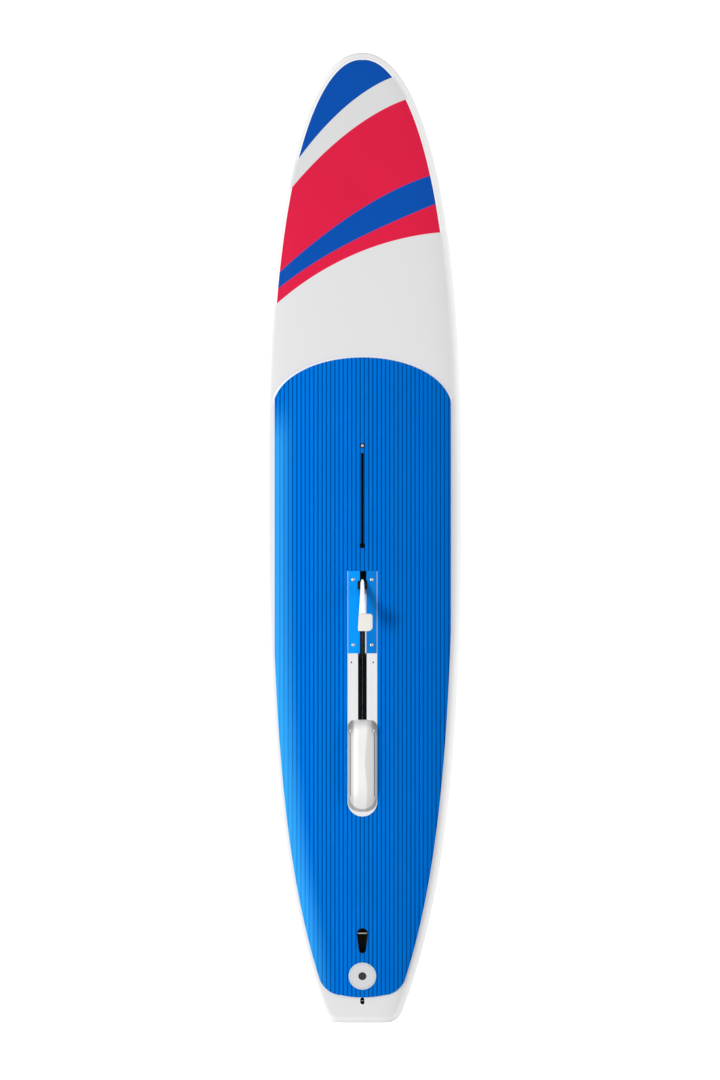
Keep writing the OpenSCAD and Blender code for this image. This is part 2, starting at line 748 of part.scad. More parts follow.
module fin_block_space(gap = 0) {
    box([fin_x - fin_box_l / 2 - fin_block_over - gap, fin_x + fin_box_l / 2 + fin_block_over + gap],
        [-fin_block_w / 2 - gap, fin_block_w / 2 + gap], [skin_t, fin_block_h]);
}

module hull_core() {
    color(FOAM) difference() {
        loft([for (x = STATIONS) concat(
            [for (j = [0:ring_n - 1]) deck_pt(x, j, skin_t)],
            [for (j = [ring_n - 2:-1:1]) bottom_pt(x, j, skin_t)])], shared = 1);
        case_space();
        block_space(glue);
        anchor_space(glue);
        track_block_space(glue);
        vent_space(glue);
        grip_space(glue);
        leash_space(glue);
        fin_block_space(glue);
    }
}

module deck_skin() {
    color(WHITE) difference() {
        loft([for (x = STATIONS) concat(
            [for (j = [0:ring_n - 1]) deck_pt(x, j, skin_t)],
            [for (j = [ring_n - 1:-1:0]) deck_pt(x, j, 0)])], turned = true);
        case_space();
        block_space(glue);
        anchor_space(glue);
        track_space(glue, cut);
        vent_space(glue);
        grip_space(glue);
        leash_space(glue);
    }
}

module bottom_skin() {
    color(WHITE) difference() {
        loft([for (x = STATIONS) concat(
            [for (j = [0:ring_n - 1]) bottom_pt(x, j, 0)],
            [for (j = [ring_n - 1:-1:0]) bottom_pt(x, j, skin_t)])], turned = true);
        case_space();
        fin_box_space(glue, cut);
    }
}

// Pad outline: it keeps pad_inset from the rail, curves across the front and
// has rounded corners at the back.
pad_rear_x = pad_rear - half_l;
pad_front_x = pad_front - half_l;
pad_shoulder_x = pad_front_x - pad_nose_l;
pad_corner_r = 60;
pad_bow = 9;              // how far the middle of its back edge stands out
PAD_X = concat([for (i = [0:5]) pad_rear_x + pad_corner_r * (1 - cos(18 * i))],
    [for (i = [1:19]) pad_rear_x + pad_corner_r + (pad_shoulder_x - pad_rear_x - pad_corner_r) * i / 20]);
PAD_EDGE = concat(
    [for (x = PAD_X) [x, half_w(x) - pad_inset - corner_loss(x - pad_rear_x, pad_corner_r)]],
    [for (i = [0:12]) [pad_front_x - pad_nose_l * (1 - sin(7.5 * i)),
        (half_w(pad_shoulder_x) - pad_inset) * cos(7.5 * i)]]);

module deck_pad() {
    color(BLUE) difference() {
        intersection() {
            loft([for (x = STATIONS) concat(
                [for (j = [0:ring_n - 1]) deck_pt(x, j, 0, pad_t)],
                [for (j = [ring_n - 1:-1:0]) deck_pt(x, j, 0)])]);
            linear_extrude(2 * board_t + nose_rocker) polygon(concat(
                PAD_EDGE, [for (i = [len(PAD_EDGE) - 2:-1:0]) [PAD_EDGE[i][0], -PAD_EDGE[i][1]]],
                [for (k = [-0.75:0.25:0.75]) [pad_rear_x - pad_bow * (1 - k * k), k * PAD_EDGE[0][1]]]));
        }
        translate([0, 0, board_t - cut]) linear_extrude(pad_t + 2 * cut) {
            frame_plan(frame_half_w + glue, plate_front_x + glue);
            translate([track_x, -track_slot_w / 2]) square([track_l - track_slot_w / 2, track_slot_w]);
            translate([track_front_x - track_slot_w / 2, 0]) circle(track_slot_w / 2);
            translate([track_x, 0]) circle(track_entry_d / 2);
        }
        vent_space(glue);
        grip_space(glue);
        badge_space(glue, cut);
    }
}

badge_sink = 2.5;
module badge_space(gap = 0, over = 0) {
    on_deck(badge_x) translate([0, 0, pad_t - badge_sink]) cylinder(r = badge_d / 2 + gap, h = badge_sink + 4 * over);
}

module badge_disc() {
    color("#c9ced2") badge_space();
}

// ---- mast track --------------------------------------------------------------
module mast_track() {
    color(BLACK) difference() {
        track_space();
        box([track_x, track_front_x], [-track_cavity_w / 2, track_cavity_w / 2],
            [board_t - track_lip_t - track_cavity_h, board_t - track_lip_t]);
        translate([0, 0, board_t - track_lip_t - cut]) linear_extrude(track_lip_t + 2 * cut) {
            translate([track_x, -track_slot_w / 2]) square([track_l - track_slot_w / 2, track_slot_w]);
            translate([track_front_x - track_slot_w / 2, 0]) circle(track_slot_w / 2);
        }
        translate([track_x, 0, board_t - track_lip_t - track_cavity_h])
            cylinder(r = track_entry_d / 2, h = track_cavity_h + track_lip_t + cut);
    }
}

module track_foam_block() {
    color("#dcd6bd") difference() {
        track_block_space();
        track_space(glue, cut);
    }
}

module vent_bush() {
    color("#1b1c1e") translate([vent_x, 0, 0]) rotate_extrude() polygon([
        [vent_bore_r, board_t - vent_bush_h], [vent_bush_r, board_t - vent_bush_h],
        [vent_bush_r, top_z - 1], [vent_seat_r, top_z - 1], [vent_seat_r, vent_seat_z], [vent_bore_r, vent_seat_z]
    ]);
}

module vent_o_ring() {
    color("#0d0d0e") translate([vent_x, 0, vent_seat_z + vent_ring_r]) rotate_extrude()
        translate([vent_seat_r - vent_ring_r, 0]) circle(vent_ring_r);
}

module vent_screw() {
    color(STEEL) translate([vent_x, 0, vent_seat_z + 2 * vent_ring_r]) difference() {
        union() {
            cylinder(r = vent_head_r, h = vent_head_h);
            translate([0, 0, -20]) cylinder(r = vent_bore_r - head_pin_gap, h = 20 + cut);
        }
        translate([0, 0, vent_head_h - 1.5]) box([-vent_head_r - cut, vent_head_r + cut], [-0.8, 0.8], [0, 2]);
    }
}

// ---- tail fittings -------------------------------------------------------------
module grip_cup() {
    color(BLACK) at_grip() difference() {
        translate([0, 0, -grip_depth]) linear_extrude(grip_depth + pad_t) grip_plan(0);
        translate([0, 0, grip_wall - grip_depth]) linear_extrude(grip_depth + pad_t) grip_plan(-grip_wall);
        translate([-grip_front_r, 0, grip_bar_z]) rotate([90, 0, 0])
            cylinder(r = grip_bar_r, h = 2 * grip_front_r - 2, center = true);
    }
}

module grip_bar() {
    color(STEEL) at_grip() translate([-grip_front_r, 0, grip_bar_z]) rotate([90, 0, 0])
        cylinder(r = grip_bar_r, h = 2 * grip_front_r - 2, center = true);
}

module leash_cup() {
    color(BLACK) on_deck(leash_x) difference() {
        translate([0, 0, -leash_depth]) linear_extrude(leash_depth + 1) leash_plan(0);
        translate([0, 0, leash_wall - leash_depth]) linear_extrude(leash_depth + cut) leash_plan(-leash_wall);
        translate([0, 0, -6]) rotate([90, 0, 0]) cylinder(r = leash_pin_r, h = 2 * leash_r - 1, center = true);
    }
}

module leash_pin() {
    color(STEEL) on_deck(leash_x) translate([0, 0, -6]) rotate([90, 0, 0])
        cylinder(r = leash_pin_r, h = 2 * leash_r - 1, center = true);
}

// ---- fin -----------------------------------------------------------------------
fin_play = 0.3;
fin_tab_t = fin_slot_w - 2 * fin_play;
fin_tab_h = 25;
fin_lug_l = 30;
fin_lug_h = 12;
fin_rear_x = fin_x - fin_base_l / 2;
fin_front_x = fin_x + fin_base_l / 2;
fin_root_x = fin_front_x - fin_lug_l;
fin_screw_x = fin_front_x - 14;
fin_screw_r = 2;
fin_pin_x = fin_rear_x + 14;
fin_pin_r = 3;
fin_pin_z = 15.25;
fin_plate_l = 16;
fin_plate_t = 3;
fin_sweep = 175;
fin_tip_chord = 34;

module fin_box() {
    wall_in = fin_box_l / 2 - fin_box_end;
    half_groove = fin_slot_w / 2 + fin_groove_w;
    color(BLACK) difference() {
        fin_box_space();
        box([fin_x - wall_in, fin_x + wall_in], [-fin_slot_w / 2, fin_slot_w / 2], [-cut, fin_floor]);
        box([fin_x - wall_in, fin_x + wall_in], [-half_groove, half_groove], fin_groove_z);
        // the way in for the roller and the plate
        box([fin_x + wall_in - 20, fin_x + wall_in], [-half_groove, half_groove], [-cut, fin_groove_z[1]]);
    }
}

module fin_foam_block() {
    color("#dcd6bd") difference() {
        fin_block_space();
        translate([0, 0, 0]) fin_box_space(glue, cut);
    }
}

function fin_le(k) = fin_root_x - fin_sweep * pow(k, 1.5);
function fin_te(k) = fin_rear_x - (fin_sweep - (fin_root_x - fin_rear_x) + fin_tip_chord) * pow(k, 2.4);
FIN_K = [0, 0.12, 0.25, 0.4, 0.55, 0.7, 0.83, 0.93, 0.98, 1];
function fin_end(k) = k > 0.93 ? 0.45 * pow((k - 0.93) / 0.07, 2) : 0;
function fin_ring(k) = let (
    chord = fin_le(k) - fin_te(k), le = fin_le(k) - fin_end(k) * chord, te = fin_te(k) + fin_end(k) * chord / 2,
    t = fin_tab_t / 2 * pow((le - te) / (fin_root_x - fin_rear_x), 0.6)) [
    for (side = [-1, 1], j = [0:8]) let (u = side < 0 ? FOIL_U[j] : FOIL_U[9 - j])
        [le - u * (le - te), side * t * foil(u), -fin_depth * k]];

module fin() {
    color("#24262a") difference() {
        union() {
            loft([for (k = FIN_K) fin_ring(k)], shared = 1);
            box([fin_rear_x, fin_root_x - 4], [-fin_tab_t / 2, fin_tab_t / 2], [0, fin_tab_h]);
            box([fin_root_x - 5, fin_front_x], [-fin_tab_t / 2, fin_tab_t / 2], [0, fin_lug_h]);
        }
        cross_rod(fin_pin_x, fin_pin_z, fin_pin_r, fin_slot_w);
        translate([fin_screw_x, 0, -cut]) cylinder(r = fin_screw_r, h = fin_lug_h + 2 * cut);
        translate([fin_screw_x, 0, -cut]) cylinder(r = 3.6, h = cut + 2.5);
    }
}

module fin_roller_pin() {
    color("#b48a3c") cross_rod(fin_pin_x, fin_pin_z, fin_pin_r, fin_slot_w + 2 * fin_groove_w - 2 * fin_play);
}

module fin_screw() {
    color(STEEL) translate([fin_screw_x, 0, 0]) {
        cylinder(r = 3.5, h = 2.5);
        cylinder(r = fin_screw_r, h = fin_lug_h + fin_plate_t + 1);
    }
}

module fin_plate() {
    color(STEEL) difference() {
        box([fin_screw_x - fin_plate_l / 2, fin_screw_x + fin_plate_l / 2],
            [-fin_slot_w / 2 - fin_groove_w + fin_play, fin_slot_w / 2 + fin_groove_w - fin_play],
            [fin_lug_h, fin_lug_h + fin_plate_t]);
        translate([fin_screw_x, 0, 0]) cylinder(r = fin_screw_r, h = 2 * fin_lug_h);
    }
}

hull_core();
deck_skin();
bottom_skin();
deck_pad();
badge_disc();
mast_track();
track_foam_block();
vent_bush();
vent_screw();
vent_o_ring();
dagger_case();
slot_frame();
frame_screws();
cover_plate_port();
cover_plate_starboard();
cover_plate_screws();
bearing_block_port();
bearing_block_starboard();
rear_anchor_blocks();
slot_lips();
bottom_lips_front();
bottom_lips_rear();
tip_cover();
tip_cover_screws();
down_stop();
friction_pads();
dagger_blade();
dagger_head();
pivot_pin();
pivot_washers();
dagger_lever();
lever_pedal();
lever_bolts();
lever_nuts();
tang_bolts();
grip_cup();
grip_bar();
leash_cup();
leash_pin();
fin_box();
fin_foam_block();
fin();
fin_roller_pin();
fin_screw();
fin_plate();
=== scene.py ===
"""A windsurf board: skin and nose bands, grooved pad, daggerboard with foot lever, fin and fittings."""

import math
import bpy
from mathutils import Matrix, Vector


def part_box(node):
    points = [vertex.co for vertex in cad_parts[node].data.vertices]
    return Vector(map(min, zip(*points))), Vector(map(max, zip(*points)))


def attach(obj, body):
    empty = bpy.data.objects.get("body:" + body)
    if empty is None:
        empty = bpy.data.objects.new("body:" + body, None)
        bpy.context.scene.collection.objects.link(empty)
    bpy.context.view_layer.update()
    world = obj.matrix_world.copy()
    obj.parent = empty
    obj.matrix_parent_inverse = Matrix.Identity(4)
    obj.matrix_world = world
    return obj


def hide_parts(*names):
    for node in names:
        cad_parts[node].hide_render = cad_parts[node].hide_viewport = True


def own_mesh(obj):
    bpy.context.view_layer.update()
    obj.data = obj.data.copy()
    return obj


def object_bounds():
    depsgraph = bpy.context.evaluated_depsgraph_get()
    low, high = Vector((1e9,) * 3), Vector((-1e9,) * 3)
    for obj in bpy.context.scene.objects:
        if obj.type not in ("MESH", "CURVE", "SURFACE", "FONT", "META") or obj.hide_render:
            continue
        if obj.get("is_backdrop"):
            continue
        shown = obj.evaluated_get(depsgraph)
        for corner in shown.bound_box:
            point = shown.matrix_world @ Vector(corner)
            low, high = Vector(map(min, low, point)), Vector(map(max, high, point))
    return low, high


bl_info = {
    "name": "Windsurf board",
    "version": (1, 0, 0),
    "blender": (4, 5, 0),
    "location": "View3D > Sidebar > Board",
    "description": "Builds the looks of a windsurf board round its fixed frame",
    "category": "Object",
}

import bmesh
import bpy
import numpy as np
from bpy.props import FloatProperty, FloatVectorProperty, PointerProperty
from mathutils import Matrix

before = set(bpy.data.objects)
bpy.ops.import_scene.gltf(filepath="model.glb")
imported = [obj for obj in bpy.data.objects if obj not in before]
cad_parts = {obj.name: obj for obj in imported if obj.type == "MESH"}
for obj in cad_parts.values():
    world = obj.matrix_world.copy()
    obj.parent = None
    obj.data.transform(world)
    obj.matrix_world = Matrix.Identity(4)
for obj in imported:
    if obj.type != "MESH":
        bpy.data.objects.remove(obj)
CAD_LOW, CAD_HIGH = (tuple(float(v) for v in corner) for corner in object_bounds())

# ---- sizes of the hull form, in metres -------------------------------------
HALF_L = 1.830
END_X = CAD_HIGH[0]
HALF_BEAM = CAD_HIGH[1]
DECK_Z = 0.145
TOP_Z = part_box("slot_frame")[1][2]
WIDE_X = 0.100
ROCKER_X = 0.450
KICK_X = -1.685
FLAT_FRONT_X = 0.3685
FLAT_REAR_X = -1.050
NOSE_ROCKER = 0.150
TAIL_KICK = 0.012
NOSE_T = 0.048
TAIL_T = 0.078
RAIL_SHARE = 0.42
NOSE_ROUND = 0.060
TAIL_ROUND = 0.026
TAIL_CORNER = 0.040
RIM = 0.0005
DECK_POWER = 4.5
BOTTOM_POWER = 8.0
SKIN_T = 0.0046

# ---- sizes of the pad and of what lies in it -------------------------------
PAD_T = 0.006
PAD_INSET = 0.034
PAD_REAR_X = -1.720
PAD_FRONT_X = 0.686
PAD_NOSE_L = 0.190
PAD_CORNER_R = 0.060
PAD_BOW = 0.009
RIB_PITCH = 0.0159
GROOVE_DEEP = 0.0021
GAP = 0.0003
CUT_TOP = 0.2

TRACK_X = -0.022
TRACK_FRONT_X = 0.327
TRACK_SLOT_W = 0.010
TRACK_ENTRY_R = 0.0105
VENT_X = 0.354
VENT_R = 0.0095
GRIP_X = -1.464
GRIP_L = 0.096
GRIP_MIDDLE_X = GRIP_X - GRIP_L / 2
GRIP_FRONT_R = 0.021
GRIP_REAR_R = 0.0135
BADGE_X = -1.647
BADGE_R = 0.052
BADGE_T = 0.0025
LEASH_X = -1.743
LEASH_R = 0.0078
LEASH_HALF_L = 0.0057

# ---- sizes of the daggerboard ----------------------------------------------
PIVOT = (-0.171, 0.0, 0.1385)
PLATE_FRONT_X = -0.118
CASE_REAR_X = -0.986
CASE_FRONT_X = -0.020
FRAME_HALF_W = 0.056
BLADE_L = 0.790
BLADE_T = 0.026
BLADE_BACK = 0.005
BLADE_FRONT = 0.150
BLADE_TIP_L = 0.090
HEAD_H = 0.070
RAKE = math.radians(10)
LEVER_ANGLE = math.radians(28)

# ---- sizes of the fin --------------------------------------------------------
FIN_ROOT_X = -1.420
FIN_REAR_X = -1.540
FIN_FRONT_X = -1.390
FIN_SWEEP = 0.175
FIN_TIP_CHORD = 0.034
FIN_DEPTH = 0.320
FIN_TAB_T = 0.0094


# ============================ settings =========================================
def length(name, description, default):
    return FloatProperty(name=name, description=description, default=default, min=0.0, unit="LENGTH")


def colour(name, description, rgb):
    """A colour setting, given as it looks on a screen and kept as linear light."""
    share = np.array(rgb) / 255
    linear = np.where(share <= 0.04045, share / 12.92, ((share + 0.055) / 1.055) ** 2.4)
    return FloatVectorProperty(name=name, description=description, size=3, min=0.0, max=1.0,
                               subtype="COLOR", default=tuple(float(v) for v in linear))


class BoardSizes(bpy.types.PropertyGroup):
    rib_pitch: length("Rib pitch", "Distance between the pad's grooves", RIB_PITCH)
    groove_depth: length("Groove depth", "Depth of the pad's grooves", GROOVE_DEEP)
    band_inset: length("Band inset", "How far the nose bands keep from the board's outline", 0.028)
    edge_round: FloatProperty(name="Edge rounding", description="Share of the fittings' usual rounding",
                              default=1.0, min=0.0)


class BoardColours(bpy.types.PropertyGroup):
    # The skin is one white gloss: the rails' brighter white is painted light and the deck's pale grey is
    # painted shade.
    skin: colour("Skin", "Gloss skin at the rails and underneath", (248, 248, 248))
    deck: colour("Deck", "Gloss skin on top", (217, 217, 218))
    deep_blue: colour("Deep blue", "Dark bands on the nose", (0, 76, 168))
    crimson: colour("Crimson", "Red bands on the nose", (214, 28, 66))
    pad: colour("Pad", "Ribs of the deck pad", (0, 109, 207))
    plate: colour("Cover plates", "Gloss plates over the bearings", (0, 134, 230))
    pedal: colour("Pedal", "Foot pedal", (232, 230, 222))
    steel: colour("Steel", "Polished cover and screws", (226, 225, 223))


class StageLight(bpy.types.PropertyGroup):
    fill: FloatProperty(name="Fill light", description="Power of the soft lamp on the far side",
                        default=150.0, min=0.0, unit="POWER")
    key: FloatProperty(name="Key light", description="Power of the large soft lamp",
                       default=330.0, min=0.0, unit="POWER")
    sky: FloatProperty(name="Surround", description="Strength of the even light all round",
                       default=0.53, min=0.0)


# ============================ meshes ===========================================
def grid_faces(rows, cols, wrap=False, start=0):
    """Quads between neighbouring rows and columns of a grid; wrap joins the last column to the first."""
    i = np.arange(rows - 1)[:, None]
    j = np.arange(cols if wrap else cols - 1)[None, :]
    a = start + i * cols + j
    b = start + i * cols + (j + 1) % cols
    return np.stack([a, b, b + cols, a + cols], axis=-1).reshape(-1, 4)


def signed_volume(points, faces):
    """Sum of the tetrahedra from the origin to each face, which is positive when the faces look outwards."""
    total = 0.0
    for k in range(2, faces.shape[1]):
        a, b, c = points[faces[:, 0]], points[faces[:, k - 1]], points[faces[:, k]]
        total += float(np.einsum("ij,ij->i", a, np.cross(b, c)).sum()) / 6
    return total


def closed_tube(rings):
    """A closed skin through rings[n, m, 3]: quads along the side and a fan to the middle of each end ring."""
    rows, cols = rings.shape[:2]
    middles = rings[[0, -1]].mean(axis=1)
    points = np.concatenate([rings.reshape(-1, 3), middles])
    side = grid_faces(rows, cols, wrap=True)
    j = np.arange(cols)
    after = (j + 1) % cols
    last = (rows - 1) * cols
    ends = np.concatenate([
        np.stack([after, j, np.full(cols, rows * cols)], axis=-1),
        np.stack([last + j, last + after, np.full(cols, rows * cols + 1)], axis=-1)])
    if signed_volume(points, side) + signed_volume(points, ends) < 0:
        side, ends = side[:, ::-1], ends[:, ::-1]
    return points, [side, ends]


def joined(*parts):
    """Several (points, face arrays) as one, with the face numbers moved along."""
    points, faces, start = [], [], 0
    for part_points, part_faces in parts:
        points.append(part_points)
        faces += [array + start for array in part_faces]
        start += len(part_points)
    return np.concatenate(points), faces


def turned_inside_out(part):
    return part[0], [array[:, ::-1] for array in part[1]]


def at_height(outline, z):
    return np.column_stack([outline, np.full(len(outline), z)])


def outline_prism(outline, low, high):
    """A straight-sided block: a closed outline of (x, y) swept from height low to height high."""
    points = np.concatenate([at_height(outline, low), at_height(outline, high)])
    count = len(outline)
    j = np.arange(count)
    after = (j + 1) % count
    side = np.stack([j, after, after + count, j + count], axis=-1)
    x, y = outline[:, 0], outline[:, 1]
    if (x * np.roll(y, -1) - np.roll(x, -1) * y).sum() < 0:
        side, j = side[:, ::-1], j[::-1]
    return points, [side, np.array([j[::-1]]), np.array([j + count])]


def side_prism(outline, half):
    """A block from an outline of (x, z), reaching as far to each side as the half width."""
    points, faces = outline_prism(np.array(outline), -half, half)
    return turned_inside_out((points[:, [0, 2, 1]], faces))


def box_part(low, high):
    outline = np.array([[low[0], low[1]], [high[0], low[1]], [high[0], high[1]], [low[0], high[1]]])
    return outline_prism(outline, low[2], high[2])


def arc(centre, radius, start, end, count=24):
    """Points on a circle from one angle to another, in degrees."""
    angle = np.radians(np.linspace(start, end, count))
    return np.column_stack([centre[0] + radius * np.cos(angle), centre[1] + radius * np.sin(angle)])


def rounded_box_outline(x, y, radii, count):
    """A rectangle with a quarter circle of its own at each corner, anticlockwise from high x, high y."""
    corners = ((x[1], y[1], -1, -1), (x[0], y[1], 1, -1), (x[0], y[0], 1, 1), (x[1], y[0], -1, 1))
    return np.concatenate([
        arc((cx + sx * r, cy + sy * r), r, 90 * turn, 90 * turn + 90, count)
        for turn, ((cx, cy, sx, sy), r) in enumerate(zip(corners, radii))])


def revolved(profile, centre, segments):
    """A closed profile of (radius, height) turned round the vertical axis through centre."""
    profile = np.asarray(profile, dtype=float)
    angle = np.linspace(0, 2 * np.pi, segments, endpoint=False)
    r, z = profile[:, 0][None, :], profile[:, 1][None, :]
    x = centre[0] + r * np.cos(angle)[:, None]
    y = centre[1] + r * np.sin(angle)[:, None]
    return np.stack([x, y, np.broadcast_to(centre[2] + z, x.shape)], axis=-1)


def lathe(profile, centre=(0.0, 0.0, 0.0), segments=48):
    """A solid of revolution: the profile runs from the axis, round the outside, and back to the axis."""
    return closed_tube(revolved(profile, centre, segments).transpose(1, 0, 2))


def lathe_ring(profile, centre, segments):
    """A ring of revolution: the closed profile keeps off the axis, and both ways of the grid wrap."""
    rings = revolved(profile, centre, segments)
    rows, cols = rings.shape[:2]
    j = np.arange(cols)
    i = (rows - 1) * cols + j
    after = (j + 1) % cols
    seam = np.stack([i, (rows - 1) * cols + after, after, j], axis=-1)
    wrapped = np.concatenate([grid_faces(rows, cols, wrap=True), seam])
    points = rings.reshape(-1, 3)
    if signed_volume(points, wrapped) < 0:
        wrapped = wrapped[:, ::-1]
    return points, [wrapped]


def make_mesh(name, part, **measures):
    """A mesh from points and arrays of faces, with each measure kept on its points as an attribute."""
    points, faces = part
    mesh = bpy.data.meshes.new(name)
    listed = [row for array in faces for row in array.tolist()]
    mesh.from_pydata(points.tolist(), [], listed)
    mesh.update()
    mesh.validate()
    for key, values in measures.items():
        kept = mesh.attributes.new(key, "FLOAT", "POINT")
        kept.data.foreach_set("value", values.astype(np.float32))
    return mesh


def linked(name, data):
    """A new object in the scene."""
    made = bpy.data.objects.new(name, data)
    bpy.context.scene.collection.objects.link(made)
    return made


def apply_modifiers(piece):
    """Puts what the piece's modifiers show into its mesh."""
    bpy.context.view_layer.update()
    shown = piece.evaluated_get(bpy.context.evaluated_depsgraph_get())
    result = bpy.data.meshes.new_from_object(shown)
    piece.modifiers.clear()
    result.name = piece.name
    old, piece.data = piece.data, result
    bpy.data.meshes.remove(old)


def dress(piece, body, slot, replaces, finish, angle):
    """Shading, finish, the body the piece rides on, and the hiding of the nodes it stands for. Edges sharper
    than the angle in degrees stay sharp, and the finish is the slot's own unless another is named."""
    piece.data.shade_smooth()
    piece.data.set_sharp_from_angle(angle=math.radians(angle))
    piece.data.materials.clear()
    piece.data.materials.append(FINISHES[finish or slot])
    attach(piece, body)
    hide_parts(*replaces)
    return piece


def new_piece(name, part, body, slot, replaces, cutters=(), angle=34, keep_meeting=None, finish=None):
    """A dressed piece from a part or a mesh, after its cuts."""
    piece = linked(name, part if isinstance(part, bpy.types.Mesh) else make_mesh(name, part))
    if keep_meeting is not None:
        combine(piece, keep_meeting, "INTERSECT")
    for cutter in cutters:
        combine(piece, cutter, "DIFFERENCE")
    return dress(piece, body, slot, replaces, finish, angle)


def combine(piece, part, operation):
    """Cuts a part out of a piece, or keeps what they share."""
    tool = linked("tool", make_mesh("tool", part))
    step = piece.modifiers.new("combine", "BOOLEAN")
    step.operation = operation
    step.solver = "MANIFOLD"
    step.object = tool
    apply_modifiers(piece)
    bpy.data.meshes.remove(tool.data)
    if not len(piece.data.polygons):
        raise RuntimeError(f"{piece.name} was cut away")


def softened(node, name, body, slot, width, segments=2, finish=None):
    """A copy of a frame node with its doubles merged, its flat faces made whole and its edges rounded."""
    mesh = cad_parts[node].data.copy()
    work = bmesh.new()
    work.from_mesh(mesh)
    bmesh.ops.remove_doubles(work, verts=work.verts, dist=1e-6)
    bmesh.ops.dissolve_limit(work, angle_limit=math.radians(1.0), verts=work.verts, edges=work.edges)
    work.to_mesh(mesh)
    work.free()
    piece = linked(name, mesh)
    rounding = piece.modifiers.new("rounding", "BEVEL")
    rounding.width = width * bpy.context.scene.board_sizes.edge_round
    rounding.segments = segments
    rounding.limit_method = "ANGLE"
    rounding.angle_limit = math.radians(28)
    rounding.use_clamp_overlap = True
    rounding.miter_outer = "MITER_ARC"
    apply_modifiers(piece)
    return dress(piece, body, slot, (node,), finish, 40)


def heads(name, places, profile, segments, slot, replaces, finish=None):
    """The same turned head at several places (x, y), as one piece on the hull."""
    turned = [lathe(profile, (x, y, 0.0), segments) for x, y in places]
    new_piece(name, joined(*turned), "hull", slot, replaces, finish=finish)


# ============================ hull form ========================================
def corner_loss(distance, radius):
    """What a quarter circle in plan takes off the half width at a distance from its end."""
    inside = np.clip(radius - distance, 0, radius)
    return radius - np.sqrt(radius**2 - inside**2)


def half_beam(x):
    """Half width in plan: ahead of the widest station (1 - u^2.6)^0.465, behind it two falling powers and
    the tail's corner."""
    ahead = np.clip((x - WIDE_X) / (HALF_L - WIDE_X), 0, 1)
    behind = np.clip((WIDE_X - x) / (HALF_L + WIDE_X), 0, 1)
    tail = HALF_BEAM * (1 - 0.35 * behind**2 - 0.29 * behind**4.8) - corner_loss(x + HALF_L, TAIL_CORNER)
    return np.where(x > WIDE_X, HALF_BEAM * (1 - ahead**2.6) ** 0.465, tail)


def bottom_height(x):
    nose = NOSE_ROCKER * (np.clip(x - ROCKER_X, 0, None) / (HALF_L - ROCKER_X)) ** 2.2
    return nose + TAIL_KICK * (np.clip(KICK_X - x, 0, None) / (HALF_L + KICK_X)) ** 2


def thickness(x):
    nose = (DECK_Z - NOSE_T) * (np.clip(x - FLAT_FRONT_X, 0, None) / (HALF_L - FLAT_FRONT_X)) ** 1.6
    tail = (DECK_Z - TAIL_T) * (np.clip(FLAT_REAR_X - x, 0, None) / (HALF_L + FLAT_REAR_X)) ** 1.7
    return DECK_Z - nose - tail


def end_share(distance, radius):
    """A quarter circle in side view that closes the hull at its ends."""
    near = np.clip(1 - distance / radius, 0, 1)
    return np.sqrt(1 - near**2)


def hull_levels(x):
    """Height of the rail line, rise of the deck above it and drop of the bottom below it."""
    t = thickness(x)
    closing = np.minimum(end_share(HALF_L - x + RIM, NOSE_ROUND), end_share(HALF_L + x + RIM, TAIL_ROUND))
    return bottom_height(x) + RAIL_SHARE * t, (1 - RAIL_SHARE) * t * closing, RAIL_SHARE * t * closing


def deck_height(x, y):
    """Height of the deck: the rail line and a superellipse of power 4.5 across the board."""
    rail, rise = hull_levels(x)[:2]
    across = np.clip(np.abs(y) / half_beam(x), 0, 0.985)
    return rail + rise * np.sqrt(1 - across**DECK_POWER)


def deck_tilt(x):
    step = 0.005
    ahead, behind = (deck_height(np.array(x + way), 0.0) for way in (step, -step))
    return math.atan(float(ahead - behind) / (2 * step))


def on_deck(points, station):
    """Moves points given round the deck's middle at a station to their place, tilted with the deck."""
    tilt = deck_tilt(station)
    x, y, z = points[:, 0], points[:, 1], points[:, 2]
    level = float(deck_height(np.array(station), 0.0))
    return np.column_stack([station + x * math.cos(tilt) - z * math.sin(tilt), y,
                            level + x * math.sin(tilt) + z * math.cos(tilt)])


def placed(part, station):
    return on_deck(part[0], station), part[1]


def section_shares(power, near_rail, flat):
    """Shares of the half width from the rail to the middle: even angles of the superellipse near the rail,
    then even steps."""
    turn = math.acos(0.85 ** (power / 2))
    edge = np.cos(np.linspace(0, turn, near_rail)) ** (2 / power)
    return np.concatenate([edge, np.linspace(0.85, 0, flat)[1:]])


def hull_surface(inset, stations):
    """The hull's closed surface, inset inwards: rings of the deck's superellipse from port to starboard and
    the bottom's back to port."""
    x = stations
    rail, rise, drop = hull_levels(x)
    beam = half_beam(x)
    beam = np.maximum(beam - inset, 0.5 * beam)
    rise = np.maximum(rise - inset, 0.35 * rise)
    drop = np.maximum(drop - inset, 0.35 * drop)
    deck = section_shares(DECK_POWER, 18, 14)
    bottom = section_shares(BOTTOM_POWER, 14, 9)
    deck = np.concatenate([deck, -deck[-2::-1]])
    bottom = np.concatenate([bottom, -bottom[-2::-1]])[::-1][1:-1]
    y = np.concatenate([deck, bottom])[None, :] * beam[:, None]
    height = np.concatenate([np.sqrt(np.clip(1 - np.abs(deck) ** DECK_POWER, 0, 1)),
                             np.sqrt(np.clip(1 - np.abs(bottom) ** BOTTOM_POWER, 0, 1))])
    is_deck = np.arange(len(height)) < len(deck)
    scale = np.where(is_deck[None, :], rise[:, None], -drop[:, None])
    z = rail[:, None] + scale * height[None, :]
    along = np.broadcast_to((x * (HALF_L - inset) / HALF_L)[:, None], y.shape)
    return closed_tube(np.stack([along, y, z], axis=-1))


